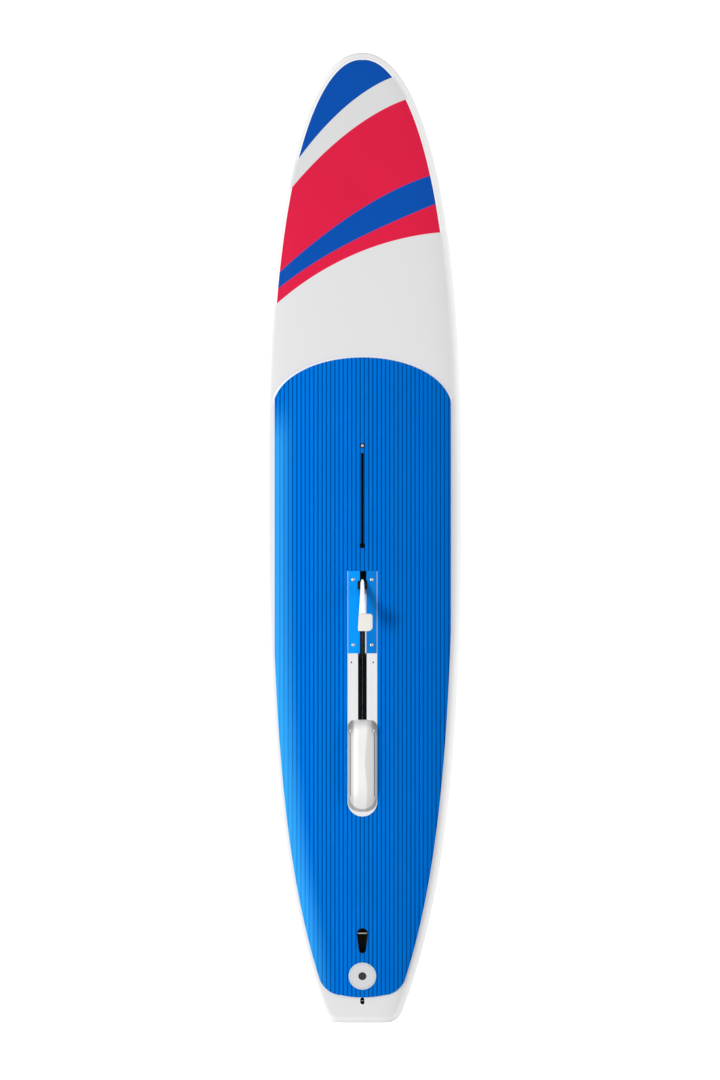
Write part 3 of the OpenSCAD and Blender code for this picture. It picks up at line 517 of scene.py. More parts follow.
def hull_stations():
    """Stations that crowd towards both ends, where the outline turns fastest."""
    aft = -END_X + (FLAT_REAR_X + END_X) * (1 - np.cos(np.linspace(0, np.pi / 2, 46)[:-1]))
    middle = np.linspace(FLAT_REAR_X, FLAT_FRONT_X, 26)[:-1]
    fore = FLAT_FRONT_X + (END_X - FLAT_FRONT_X) * np.sin(np.linspace(0, np.pi / 2, 90))
    return np.concatenate([aft, middle, fore])


def plan_outline():
    x = hull_stations()
    port = np.column_stack([x, half_beam(x)])
    return np.concatenate([port, port[::-1] * [1, -1]])


def distance_inside(points):
    """Distance in plan from each point to the board's outline, by the nearest point of each of its pieces."""
    outline = plan_outline()
    start, end = outline, np.roll(outline, -1, axis=0)
    step = end - start
    long = np.maximum((step**2).sum(axis=1), 1e-12)
    best = np.full(len(points), 1e9)
    for a, d, l in zip(start, step, long):
        offset = points[:, :2] - a
        along = np.clip(offset @ d / l, 0, 1)
        best = np.minimum(best, ((offset - along[:, None] * d) ** 2).sum(axis=1))
    return np.sqrt(best)


def frame_outline(half_width, front_x):
    """The slot frame in plan: square in front and half round behind."""
    return np.concatenate([
        [[front_x, -half_width], [front_x, half_width]],
        arc((CASE_REAR_X, 0), half_width, 90, 270, 40)])


def slot_outline(half_width, rear_x, front_x):
    """A slot along the board with a square rear and a round front end."""
    return np.concatenate([[[rear_x, half_width], [rear_x, -half_width]],
                           arc((front_x - half_width, 0), half_width, -90, 90, 20)])


def grip_outline(grow):
    """A large circle in front and a small one behind, joined by their outer tangents."""
    front, rear = GRIP_FRONT_R + grow, GRIP_REAR_R + grow
    apart = GRIP_L - GRIP_FRONT_R - GRIP_REAR_R
    lean = math.degrees(math.asin((front - rear) / apart))
    middle = GRIP_L / 2
    return np.concatenate([
        arc((middle - GRIP_FRONT_R, 0), front, -90 - lean, 90 + lean, 32),
        arc((GRIP_REAR_R - middle, 0), rear, 90 + lean, 270 - lean, 24)])


def leash_outline(grow, count=18):
    r = LEASH_R + grow
    return np.concatenate([arc((LEASH_HALF_L, 0), r, -90, 90, count),
                           arc((-LEASH_HALF_L, 0), r, 90, 270, count)])


def grip_cutter(low, high):
    return placed(outline_prism(grip_outline(GAP), low, high), GRIP_MIDDLE_X)


def vent_cutter(low):
    return outline_prism(arc((VENT_X, 0), VENT_R + GAP, 0, 350, 36), low, CUT_TOP)


def grown(node, low=None, high=None):
    """The box of a frame node, a gap larger all round, or up or down to a height of its own."""
    a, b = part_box(node)
    a = [v - GAP for v in a]
    b = [v + GAP for v in b]
    if high is not None:
        b[2] = high
    if low is not None:
        a[2] = low
    return box_part(a, b)


def case_cutter():
    """The daggerboard case's outside in side view, as wide as the case."""
    wall, below, above = 0.0033, -0.05, 0.22
    rear, front, step = CASE_REAR_X - wall, CASE_FRONT_X + wall, PLATE_FRONT_X + wall
    return side_prism([[rear, below], [front, below], [front, 0.0935], [-0.060, 0.1075], [step, 0.1432],
                       [step, above], [rear, above]], 0.0213)


# ============================ finishes =========================================
class Value:
    """A shader value. The operators add Math nodes, in their reflected forms too."""

    def __init__(self, finish, socket):
        self.finish = finish
        self.socket = socket

    def math(self, operation, *others):
        node = self.finish.add("Math", dict(enumerate((self, *others))), operation=operation)
        return Value(self.finish, node.outputs[0])

    def flipped(self, operation, other):
        node = self.finish.add("Math", {0: other, 1: self}, operation=operation)
        return Value(self.finish, node.outputs[0])

    def __add__(self, other):
        return self.math("ADD", other)

    def __radd__(self, other):
        return self.flipped("ADD", other)

    def __sub__(self, other):
        return self.math("SUBTRACT", other)

    def __rsub__(self, other):
        return self.flipped("SUBTRACT", other)

    def __mul__(self, other):
        return self.math("MULTIPLY", other)

    def __rmul__(self, other):
        return self.flipped("MULTIPLY", other)

    def __truediv__(self, other):
        return self.math("DIVIDE", other)

    def __rtruediv__(self, other):
        return self.flipped("DIVIDE", other)

    def __pow__(self, other):
        return self.math("POWER", other)

    def __neg__(self):
        return self.flipped("SUBTRACT", 0.0)

    def __abs__(self):
        return self.math("ABSOLUTE")

    def above(self, edge, soft):
        """0 below the edge and 1 above it, over a soft width."""
        ends = {"Value": self, "From Min": edge - soft / 2, "From Max": edge + soft / 2}
        node = self.finish.add("MapRange", ends, interpolation_type="SMOOTHSTEP")
        return Value(self.finish, node.outputs[0])

    def below(self, edge, soft):
        return 1 - self.above(edge, soft)


def scaled(rgb, share, lift=0.0):
    """A colour made darker or lighter, and kept within 1."""
    return tuple(min(1.0, v * share + lift) for v in rgb)


class Graph:
    """The shader nodes of a material or a world, being put together."""

    def __init__(self, owner, end):
        owner.use_nodes = True
        self.tree = owner.node_tree
        self.tree.nodes.clear()
        self.end = self.add(end)

    def add(self, kind, sockets=None, **settings):
        """A node of a kind, with its settings first and then its sockets' values or links."""
        node = self.tree.nodes.new("ShaderNode" + kind)
        for key, value in settings.items():
            setattr(node, key, value)
        for key, value in (sockets or {}).items():
            target = node.inputs[key]
            if isinstance(value, Value):
                self.tree.links.new(value.socket, target)
            elif isinstance(value, bpy.types.NodeSocket):
                self.tree.links.new(value, target)
            elif target.type == "RGBA":
                target.default_value = (*tuple(value)[:3], 1.0)
            else:
                target.default_value = value
        return node

    def close(self, node):
        self.tree.links.new(node.outputs[0], self.end.inputs[0])

    def seen_or_else(self, seen, otherwise):
        """One shader for rays from the camera, off gloss and through glass, and another for all the rest."""
        path = self.add("LightPath")
        mask = path.outputs["Is Camera Ray"]
        for kind in ("Is Glossy Ray", "Is Transmission Ray"):
            mask = self.add("Math", {0: mask, 1: path.outputs[kind]}, operation="MAXIMUM").outputs[0]
        self.close(self.add("MixShader", {0: mask, 1: otherwise.outputs[0], 2: seen.outputs[0]}))


class Finish(Graph):
    """A material on Object coordinates, with one Principled shader at its end."""

    def __init__(self, name):
        self.material = bpy.data.materials.new(name)
        super().__init__(self.material, "OutputMaterial")
        self.place = self.add("TexCoord").outputs["Object"]
        split = self.add("SeparateXYZ", {0: self.place})
        self.x, self.y, self.z = (Value(self, socket) for socket in split.outputs)

    def attribute(self, name):
        return Value(self, self.add("Attribute", attribute_name=name).outputs["Fac"])

    def noise(self, scale, detail=3.0, rough=0.5, stretch=None):
        """Noise on Object coordinates, drawn out along an axis by a stretch."""
        where = self.place
        if stretch is not None:
            where = self.add("Mapping", {"Vector": self.place, "Scale": stretch}).outputs[0]
        node = self.add("TexNoise", {"Vector": where, "Scale": scale, "Detail": detail, "Roughness": rough})
        return Value(self, node.outputs[0])

    def cells(self, scale):
        node = self.add("TexVoronoi", {"Vector": self.place, "Scale": scale})
        return Value(self, node.outputs["Distance"])

    def weave(self, first, second, pitch):
        """Two crossed sets of threads, from 0 to 1."""
        turn = 2 * math.pi / pitch
        return ((first * turn).math("SINE") * (second * turn).math("SINE")) * 0.5 + 0.5

    def mix(self, factor, first, second):
        """From the first colour to the second as the factor goes from 0 to 1."""
        return self.add("Mix", {0: factor, 6: first, 7: second}, data_type="RGBA").outputs[2]

    def shaded(self, rgb, value, low, high):
        """A colour made darker and lighter by a value that runs from 0 to 1."""
        return self.mix(value, scaled(rgb, low), scaled(rgb, high))

    def bump(self, height, distance, strength):
        """Relief from a height that runs from 0 to 1, as deep as the distance in metres."""
        return self.add("Bump", {"Height": height, "Distance": distance, "Strength": strength}).outputs[0]

    def done(self, **sockets):
        """The finished material: each argument is a socket of its shader, in lower case."""
        named = {key.replace("_", " ").title().replace("Ior", "IOR"): value for key, value in sockets.items()}
        self.close(self.add("BsdfPrincipled", named))
        return self.material


def palette():
    return bpy.context.scene.board_colours


def pad_line(f):
    """1 on a narrow strip just ahead of the pad's curved front."""
    along = (f.x - (PAD_FRONT_X - PAD_NOSE_L)) / PAD_NOSE_L
    full = float(half_beam(np.array(PAD_FRONT_X - PAD_NOSE_L))) - PAD_INSET
    across = f.y / full
    reach = (along * along + across * across) ** 0.5
    return reach.below(1.024, 0.006) * along.above(0.20, 0.40)


def board_skin():
    """Gloss skin that is all white: the rails' bright white is painted light and the deck's pale grey is
    painted shade; the nose's bands are bounded by curves in y.
    """
    f = Finish("board_skin")
    tint = palette()
    band_inset = bpy.context.scene.board_sizes.band_inset
    band_soft, line_wide, line_soft = 0.003, 0.005, 0.0012
    inside = f.attribute("inside")
    upper = f.attribute("deck_side").above(0.5, 0.2)

    def ahead_of(curve):
        """1 ahead of the band edge whose x is a cubic in y."""
        c0, c1, c2, c3 = curve
        edge = ((f.y * c3 + c2) * f.y + c1) * f.y + c0
        return (f.x - edge).above(0.0, band_soft)

    nose_blue, red_top, stripe_top, stripe_low, red_low = (ahead_of(curve) for curve in BAND_EDGES.values())
    cloud = f.noise(3.0, 2.0)
    fleck = f.noise(900.0, 2.0)
    wave = f.noise(14.0, 2.0)
    # painted light and shade: the flat deck takes the grey deck colour as painted shade, the rails the
    # brighter skin colour as painted light
    border = inside.above(0.020, 0.022) * upper
    ground = f.mix(border, tint.skin, tint.deck)
    ground = f.mix(cloud * 0.10, ground, scaled(tint.deck, 0.93))
    ground = f.mix(red_top * border * 0.10, ground, scaled(tint.deck, 0.5))
    ground = f.mix(pad_line(f) * upper, ground, (0.93, 0.93, 0.93))
    red = red_low - red_top
    stripe = stripe_low - stripe_top
    within = inside.above(band_inset, line_soft) * upper
    pin = inside.above(band_inset - line_wide, line_soft) * upper * (red + nose_blue)
    red_shade = f.shaded(tint.crimson, cloud, 0.93, 1.06)
    blue_shade = f.shaded(tint.deep_blue, cloud, 0.92, 1.06)
    paint = f.mix(red * within, f.mix(pin, ground, (0.92, 0.92, 0.92)), red_shade)
    for band in (stripe, nose_blue):
        paint = f.mix(band * within, paint, blue_shade)
    return f.done(base_color=paint, roughness=0.16 + cloud * 0.05 + fleck * 0.02, coat_weight=0.03,
                  coat_roughness=0.05, specular_ior_level=0.06, normal=f.bump(wave, 0.0006, 0.25))


# The nose bands' edges as x = c0 + c1 y + c2 y^2 + c3 y^3, in metres.
BAND_EDGES = {
    "nose_blue": (1.6759, -0.6884, -1.3104, 0.0),
    "red_top": (1.5705, -0.6704, -0.9197, 0.0),
    "stripe_top": (1.2489, -0.6213, -0.5100, 0.1498),
    "stripe_low": (1.1428, -0.4908, -0.2698, -0.3867),
    "red_low": (1.0871, -0.3954, -0.5844, -0.2251),
}


def grooved_foam():
    """Closed-cell foam: a fine cell grain, painted shade in the grooves, a little worn on the ribs' crowns,
    painted light towards port, painted shade towards starboard and a painted sheen along the port rail."""
    f = Finish("grooved_foam")
    tint = palette().pad
    turns = f.y / bpy.context.scene.board_sizes.rib_pitch
    groove = abs(turns - turns.math("ROUND")).above(0.372, 0.12)
    grain = f.noise(1400.0, 3.0, 0.6)
    cells = f.cells(1500.0)
    cloud = f.noise(5.0, 3.0)
    wear = f.noise(40.0, 4.0, 0.6, (0.25, 1.0, 1.0))
    rib = f.shaded(tint, cloud * 0.6 + grain * 0.4, 0.88, 1.10)
    rib = f.mix(wear.above(0.60, 0.25) * 0.16, rib, scaled(tint, 1.2, 0.012))
    # painted light on the ribs towards port and painted shade towards starboard
    rib = f.mix(f.y.above(0.14, 0.46) * 0.7, rib, scaled(tint, 1.22))
    rib = f.mix(f.y.below(-0.16, 0.40) * 0.6, rib, scaled(tint, 0.78))
    # painted shade in the grooves
    shade = f.mix(groove * 0.92, rib, scaled(tint, 0.40))
    # a painted sheen along the port rail
    port_rail = f.attribute("inside").below(PAD_INSET + 0.045, 0.090)
    turned = port_rail * f.y.above(0.16, 0.12) * f.x.below(0.44, 0.20)
    shade = f.mix(turned * 0.62, shade, (0.05, 0.47, 1.0))
    return f.done(base_color=shade, roughness=0.62 + grain * 0.15, specular_ior_level=0.0,
                  normal=f.bump(cells * 0.5 + grain * 0.5, 0.00025, 0.5))


def plate_lacquer():
    """Gloss lacquer, finely scuffed: the port plate paler as painted light, the starboard one darker as
    painted shade.
    """
    f = Finish("plate_lacquer")
    tint = palette().plate
    cloud = f.noise(9.0, 2.0)
    scuff = f.noise(160.0, 4.0, 0.7, (0.2, 1.0, 1.0))
    # painted light on the port plate, and painted shade from the lever's shadow on the starboard one
    port_painted_light = f.shaded(tint, cloud, 1.05, 1.35)
    starboard_painted_shade = f.shaded(tint, cloud, 0.66, 0.86)
    shade = f.mix(f.y.above(0.0, 0.01), starboard_painted_shade, port_painted_light)
    shade = f.mix(scuff.above(0.66, 0.10) * 0.15, shade, scaled(tint, 1.3, 0.03))
    return f.done(base_color=shade, roughness=0.22 + scuff * 0.14, specular_ior_level=0.08,
                  normal=f.bump(scuff, 0.00006, 0.4))


def moulded(name, rgb, rough, low=0.88, high=1.08, grain_scale=700.0, relief=0.00008, shine=0.3):
    """Moulded plastic: a faint cloud, a spark-eroded grain and small scuffs that shine."""
    f = Finish(name)
    cloud = f.noise(12.0, 3.0)
    grain = f.noise(grain_scale, 3.0, 0.6)
    scuff = f.noise(90.0, 4.0, 0.65, (0.3, 1.0, 1.0)).above(0.62, 0.12)
    shade = f.shaded(rgb, cloud * 0.7 + grain * 0.3, low, high)
    return f.done(base_color=shade, roughness=rough + grain * 0.12 - scuff * 0.08, specular_ior_level=shine,
                  normal=f.bump(grain, relief, 0.5))


def metal(name, rgb, rough):
    """Worked metal: fine lines drawn out one way, soft stains and a wavering gloss."""
    f = Finish(name)
    lines = f.noise(420.0, 3.0, 0.6, (0.15, 1.0, 1.0))
    cloud = f.noise(16.0, 3.0)
    shade = f.shaded(rgb, cloud * 0.5 + lines * 0.5, 0.85, 1.08)
    return f.done(base_color=shade, metallic=1.0, roughness=rough + cloud * 0.08 + lines * 0.06,
                  normal=f.bump(lines, 0.00003, 0.35))


def rubber():
    """Soft rubber: matt, finely grained and a little dusty."""
    f = Finish("black_rubber")
    grain = f.noise(1100.0, 4.0, 0.65)
    dust = f.noise(30.0, 4.0)
    shade = f.mix(dust.above(0.55, 0.3) * 0.35, (0.003, 0.005, 0.008), (0.008, 0.010, 0.013))
    return f.done(base_color=shade, roughness=0.50 + grain * 0.2, specular_ior_level=0.0,
                  normal=f.bump(grain, 0.00004, 0.2))


def lip_cloth():
    """Coated sail cloth: two crossed sets of threads."""
    f = Finish("lip_cloth")
    weave = f.weave(f.x, f.y, 0.0011)
    cloud = f.noise(18.0, 3.0)
    shade = f.mix(weave * 0.6 + cloud * 0.4, (0.62, 0.63, 0.64), (0.82, 0.82, 0.82))
    return f.done(base_color=shade, roughness=0.65 + weave * 0.1, normal=f.bump(weave, 0.0001, 0.6))


def foam(name, rgb):
    """Cut bead foam: rounded cells with dark seams."""
    f = Finish(name)
    beads = f.cells(330.0)
    cloud = f.noise(20.0, 3.0)
    shade = f.shaded(rgb, cloud * 0.5 + (1 - beads) * 0.5, 0.82, 1.05)
    return f.done(base_color=shade, roughness=0.82 + cloud * 0.08, normal=f.bump(1 - beads, 0.0004, 0.6))


def laminate(name, rgb, rough=0.18):
    """Glass laminate under a clear coat: a faint weave in the depth and long polishing waves."""
    f = Finish(name)
    cloud = f.noise(8.0, 3.0)
    swirl = f.noise(60.0, 3.0, 0.5, (1.0, 1.0, 0.2))
    shade = f.shaded(rgb, f.weave(f.x, f.z, 0.0024) * 0.35 + cloud * 0.65, 0.90, 1.07)
    return f.done(base_color=shade, roughness=rough + swirl * 0.08, coat_weight=0.5, coat_roughness=0.07,
                  normal=f.bump(cloud, 0.0004, 0.3))


def bright_cover():
    """Polished sheet: soft handling marks and faint lines along it, with painted shade and painted dark
    reflections on its turned-down sides, inside its edge, along its pressed line, at its round end and at its
    front corners."""
    f = Finish("polished_sheet")
    tint = palette().steel
    rear_x, front_x = (corner[0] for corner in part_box("tip_cover"))
    lines = f.noise(260.0, 3.0, 0.6, (0.06, 1.0, 1.0))
    cloud = f.noise(22.0, 3.0, 0.5, (0.5, 1.0, 1.0))
    bend = ((f.x - (front_x - 0.154)) * (2 * math.pi / 0.24)).math("COSINE") * 0.0045
    # masks for painted shade and painted dark reflections: the sides, the edge, the front corners, the
    # pressed line and the round end
    port = f.y.above(0.033, 0.008)
    starboard = (bend - f.y).above(0.0138, 0.003)
    edge = abs(f.y).above(0.043, 0.012)
    front = f.x.above(front_x - 0.046, 0.055) * abs(f.y).above(0.033, 0.018)
    between = f.x.below(front_x - 0.050, 0.012) * f.x.above(rear_x + 0.060, 0.012)
    line = abs(abs(f.y) - 0.0455).below(0.0019, 0.0014) * between
    behind = f.x - (rear_x + 0.060)
    round_end_shade = ((behind * behind + f.y * f.y) ** 0.5).above(0.049, 0.006) * f.x.below(rear_x + 0.052, 0.02)
    shade = f.shaded(tint, cloud * 0.7 + lines * 0.3, 0.90, 1.08)
    # each mask darkens the sheet as painted shade or painted dark reflection
    for share, dark in ((port * 0.55, 0.55), (starboard * 0.42, 0.55), (edge * 0.25, 0.45),
                        (line * 0.85, 0.20), (round_end_shade * 0.65, 0.30), (front * 0.75, 0.22)):
        shade = f.mix(share, shade, scaled(tint, dark))
    return f.done(base_color=shade, metallic=0.15, roughness=0.50 + cloud * 0.10 + lines * 0.05,
                  specular_ior_level=0.2, normal=f.bump(cloud, 0.0006, 0.35))


FINISHES = {}


def make_finishes():
    """Every finish, by its slot's name or by its own."""
    FINISHES.update({
        "skin_white": board_skin(),
        "pad_blue": grooved_foam(),
        "plate_blue": plate_lacquer(),
        "frame_white": moulded("frame_white", (0.71, 0.72, 0.73), 0.30, 0.94, 1.05, shine=0.15),
        "lever_white": moulded("lever_white", (0.95, 0.95, 0.94), 0.26, 0.96, 1.03, 500.0),
        "black_plastic": moulded("black_plastic", (0.007, 0.007, 0.008), 0.34, 0.7, 1.5, shine=0.05),
        "grey_plastic": moulded("grey_plastic", (0.014, 0.014, 0.016), 0.36, 0.75, 1.4, shine=0.06),
        "black_rubber": rubber(),
        "lip_cloth": lip_cloth(),
        "polished_steel": bright_cover(),
        "screw_steel": metal("screw_steel", (0.50, 0.48, 0.47), 0.24),
        "dark_steel": metal("dark_steel", (0.045, 0.046, 0.050), 0.34),
        "glide_pads": moulded("glide_pads", (0.48, 0.49, 0.50), 0.45),
        "blade_white": laminate("blade_white", (0.80, 0.80, 0.79)),
        "pedal_cream": moulded("pedal_cream", tuple(palette().pedal), 0.42, 0.93, 1.05, 620.0, 0.00012),
        "fin_dark": laminate("fin_dark", (0.018, 0.020, 0.024), 0.22),
        "brass": metal("brass", (0.60, 0.42, 0.16), 0.28),
        "foam": foam("core_foam", (0.80, 0.78, 0.70)),
        "dense_foam": foam("dense_foam", (0.68, 0.64, 0.50)),
        "badge_grey": moulded("badge_grey", (0.60, 0.62, 0.64), 0.28, 0.95, 1.05),
        "badge_dark": moulded("badge_dark", (0.020, 0.021, 0.024), 0.30),
    })


# ============================ pieces ===========================================
class BoardStep(bpy.types.Operator):
    """Shared form of the steps: build, or raise an error"""
    bl_options = {"REGISTER", "UNDO"}

    def execute(self, context):
        self.build()
        return {"FINISHED"}


class BOARD_OT_hull(BoardStep):
    """Skin of the hull: one closed surface outside, its inset copy inside, with the wells cut through"""
    bl_idname = "board.hull"
    bl_label = "Hull skin"

    def build(self):
        x = hull_stations()
        part = joined(hull_surface(0.0, x), turned_inside_out(hull_surface(SKIN_T, x)))
        rail = hull_levels(part[0][:, 0])[0]
        mesh = make_mesh("hull_shell", part, inside=distance_inside(part[0]),
                         deck_side=part[0][:, 2] > rail - 0.004)
        cutters = [case_cutter()]
        cutters += [grown(node, high=CUT_TOP) for node in ("bearing_block_port", "bearing_block_starboard")]
        low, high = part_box("rear_anchor_blocks")
        for sign in (-1, 1):
            low_y, high_y = sorted((sign * (0.021 + GAP), sign * (high[1] + GAP)))
            cutters.append(box_part((low[0] - GAP, low_y, low[2] - GAP), (high[0] + GAP, high_y, CUT_TOP)))
        cutters += [
            grown("mast_track", 0.115, CUT_TOP),
            vent_cutter(0.11),
            grip_cutter(-0.030, 0.02),
            placed(outline_prism(leash_outline(GAP, 20), -0.030, 0.02), LEASH_X),
            grown("fin_box", -0.02, 0.02),
        ]
        new_piece("hull_shell", mesh, "hull", "skin_white", ("deck_skin", "bottom_skin"), cutters, angle=40)


class BOARD_OT_pad(BoardStep):
    """Deck pad: a sheet on the deck's surface, ribbed along the board, cut to its outline and round the
    fittings"""
    bl_idname = "board.pad"
    bl_label = "Deck pad"

    def outline(self):
        """Keeps its inset from the rail, with rounded rear corners, a bowed rear edge and a curved front."""
        x = np.concatenate([PAD_REAR_X + PAD_CORNER_R * (1 - np.cos(np.linspace(0, np.pi / 2, 16))),
                            np.linspace(PAD_REAR_X + PAD_CORNER_R, PAD_FRONT_X - PAD_NOSE_L, 80)[1:-1]])
        side = np.column_stack([x, half_beam(x) - PAD_INSET - corner_loss(x - PAD_REAR_X, PAD_CORNER_R)])
        turn = np.linspace(0, np.pi / 2, 40)
        full = float(half_beam(np.array(PAD_FRONT_X - PAD_NOSE_L))) - PAD_INSET
        front = np.column_stack([PAD_FRONT_X - PAD_NOSE_L * (1 - np.sin(turn)), full * np.cos(turn)])
        port = np.concatenate([side, front])
        share = np.linspace(-1, 1, 25)[1:-1]
        rear = np.column_stack([PAD_REAR_X - PAD_BOW * (1 - share**2), share * port[0, 1]])
        return np.concatenate([port, (port * [1, -1])[-2::-1], rear])

    def build(self):
        sizes = bpy.context.scene.board_sizes
        pitch, half_reach = sizes.rib_pitch, 0.345
        count = int(half_reach / pitch)
        valleys = (np.arange(-count, count) + 0.5) * pitch
        steps = np.array([0.0013, 0.0024, 0.0032, 0.0050])
        offsets = np.concatenate([[-0.5 * pitch], -steps[::-1], [0], steps])
        from_valley = np.abs(offsets)
        ramp = np.clip((from_valley - 0.0011) / 0.0021, 0, 1)
        groove = sizes.groove_depth * (1 - ramp * ramp * (3 - 2 * ramp))
        crown = 0.0004 * np.clip(1 - from_valley / (0.5 * pitch), 0, 1) ** 2 * (from_valley > 0.002)
        y = (valleys[:, None] + offsets[None, :]).ravel()
        sunk = np.tile(groove + crown, len(valleys))
        x = np.concatenate([np.linspace(PAD_REAR_X - 0.02, FLAT_REAR_X, 22)[:-1],
                            np.linspace(FLAT_REAR_X, FLAT_FRONT_X, 7)[:-1],
                            np.linspace(FLAT_FRONT_X, PAD_FRONT_X + 0.02, 14)])
        grid_x, grid_y = np.meshgrid(x, y, indexing="ij")
        level = deck_height(grid_x, grid_y)
        top = np.stack([grid_x, grid_y, level + PAD_T - sunk[None, :]], axis=-1)
        under = np.stack([grid_x, grid_y, level - GAP], axis=-1)
        slab = closed_tube(np.concatenate([top, under[:, ::-1]], axis=1))
        mesh = make_mesh("deck_pad_ribbed", slab, inside=distance_inside(slab[0]))
        below = 0.10
        cutters = [
            outline_prism(frame_outline(FRAME_HALF_W + GAP, PLATE_FRONT_X + GAP), below, CUT_TOP),
            outline_prism(slot_outline(TRACK_SLOT_W / 2, TRACK_X, TRACK_FRONT_X), below, CUT_TOP),
            outline_prism(arc((TRACK_X, 0), TRACK_ENTRY_R, 0, 350, 36), below, CUT_TOP),
            vent_cutter(below),
            grip_cutter(-0.03, 0.03),
            placed(outline_prism(arc((0, 0), BADGE_R + GAP, 0, 356, 90), PAD_T - BADGE_T, 0.03), BADGE_X),
        ]
        pad = new_piece("deck_pad_ribbed", mesh, "hull", "pad_blue", ("deck_pad",), cutters, 55,
                        outline_prism(self.outline(), -0.05, 0.35))


class BOARD_OT_slot(BoardStep):
    """Slot frame, cover plates, lips and screws round the daggerboard's slot"""
    bl_idname = "board.slot"
    bl_label = "Daggerboard slot"

    def build(self):
        softened("slot_frame", "slot_frame_rounded", "hull", "frame_white", 0.0008, 3)
        for side in ("port", "starboard"):
            softened(f"cover_plate_{side}", f"plate_{side}_rounded", "hull", "plate_blue", 0.0009, 3)
        self.plate_screws()
        self.frame_screws()
        self.bottom_lips()

    def plate_screws(self):
        """Domed heads with a round socket, turned from a profile, on plain shanks."""
        low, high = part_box("cover_plate_screws")
        r, shank = 0.0065, 0.002
        places = [(x, y) for x in (low[0] + r, high[0] - r) for y in (low[1] + r, high[1] - r)]
        profile = [
            (0.0, low[2]), (shank, low[2]), (shank, TOP_Z - 0.003), (r - 0.0004, TOP_Z - 0.003),
            (r, TOP_Z - 0.0022), (r, TOP_Z - 0.0006), (r - 0.0005, TOP_Z + 0.0002),
            (r * 0.75, TOP_Z + 0.0009), (r * 0.45, TOP_Z + 0.0013), (0.0023, TOP_Z + 0.0013),
            (0.0021, TOP_Z + 0.0009), (0.0020, TOP_Z - 0.0012), (0.0, TOP_Z - 0.0014)]
        heads("plate_screw_heads", places, profile, 48, "screw_steel", ("cover_plate_screws",))

    def frame_screws(self):
        """Small flat heads with a dimple."""
        low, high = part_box("frame_screws")
        r, shank = (high[0] - low[0]) / 2, 0.0014
        profile = [
            (0.0, low[2]), (shank, low[2]), (shank, TOP_Z - 0.002), (r, TOP_Z - 0.0016), (r, TOP_Z - 0.0004),
            (r * 0.8, TOP_Z), (r * 0.45, TOP_Z + 0.0002), (r * 0.35, TOP_Z - 0.0008), (0.0, TOP_Z - 0.0009)]
        heads("frame_screw_heads", [((low[0] + high[0]) / 2, y) for y in (low[1] + r, high[1] - r)], profile,
              32, "black_plastic", ("frame_screws",), "grey_plastic")

    def bottom_lips(self):
        """Cloth strips under the slot: a thin sheet, its inner edge feathered and a little wavy."""
        inner = 0.00004
        for node, moving in (("bottom_lips_front", False), ("bottom_lips_rear", True)):
            low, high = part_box(node)
            x = np.linspace(low[0], high[0], 90 if moving else 20)
            grid_x, grid_v = np.meshgrid(x, np.linspace(0, 1, 14), indexing="ij")
            wave = 0.0002 * np.sin(grid_x * 120) * (1 - grid_v) ** 2
            droop = 0.00035 * (1 - grid_v) ** 2
            for sign, side in ((1, "port"), (-1, "starboard")):
                y = sign * (inner + sign * wave + (high[1] - inner) * grid_v)
                top = np.stack([grid_x, y, -0.00005 - droop], axis=-1)
                under = np.stack([grid_x, y, low[2] + 0.0002 * (1 - grid_v)], axis=-1)
                part = closed_tube(np.concatenate([top, under[:, ::-1]], axis=1))
                piece = new_piece(f"{node}_{side}", part, "hull", "lip_cloth", (node,))
                if moving:
                    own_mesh(piece)


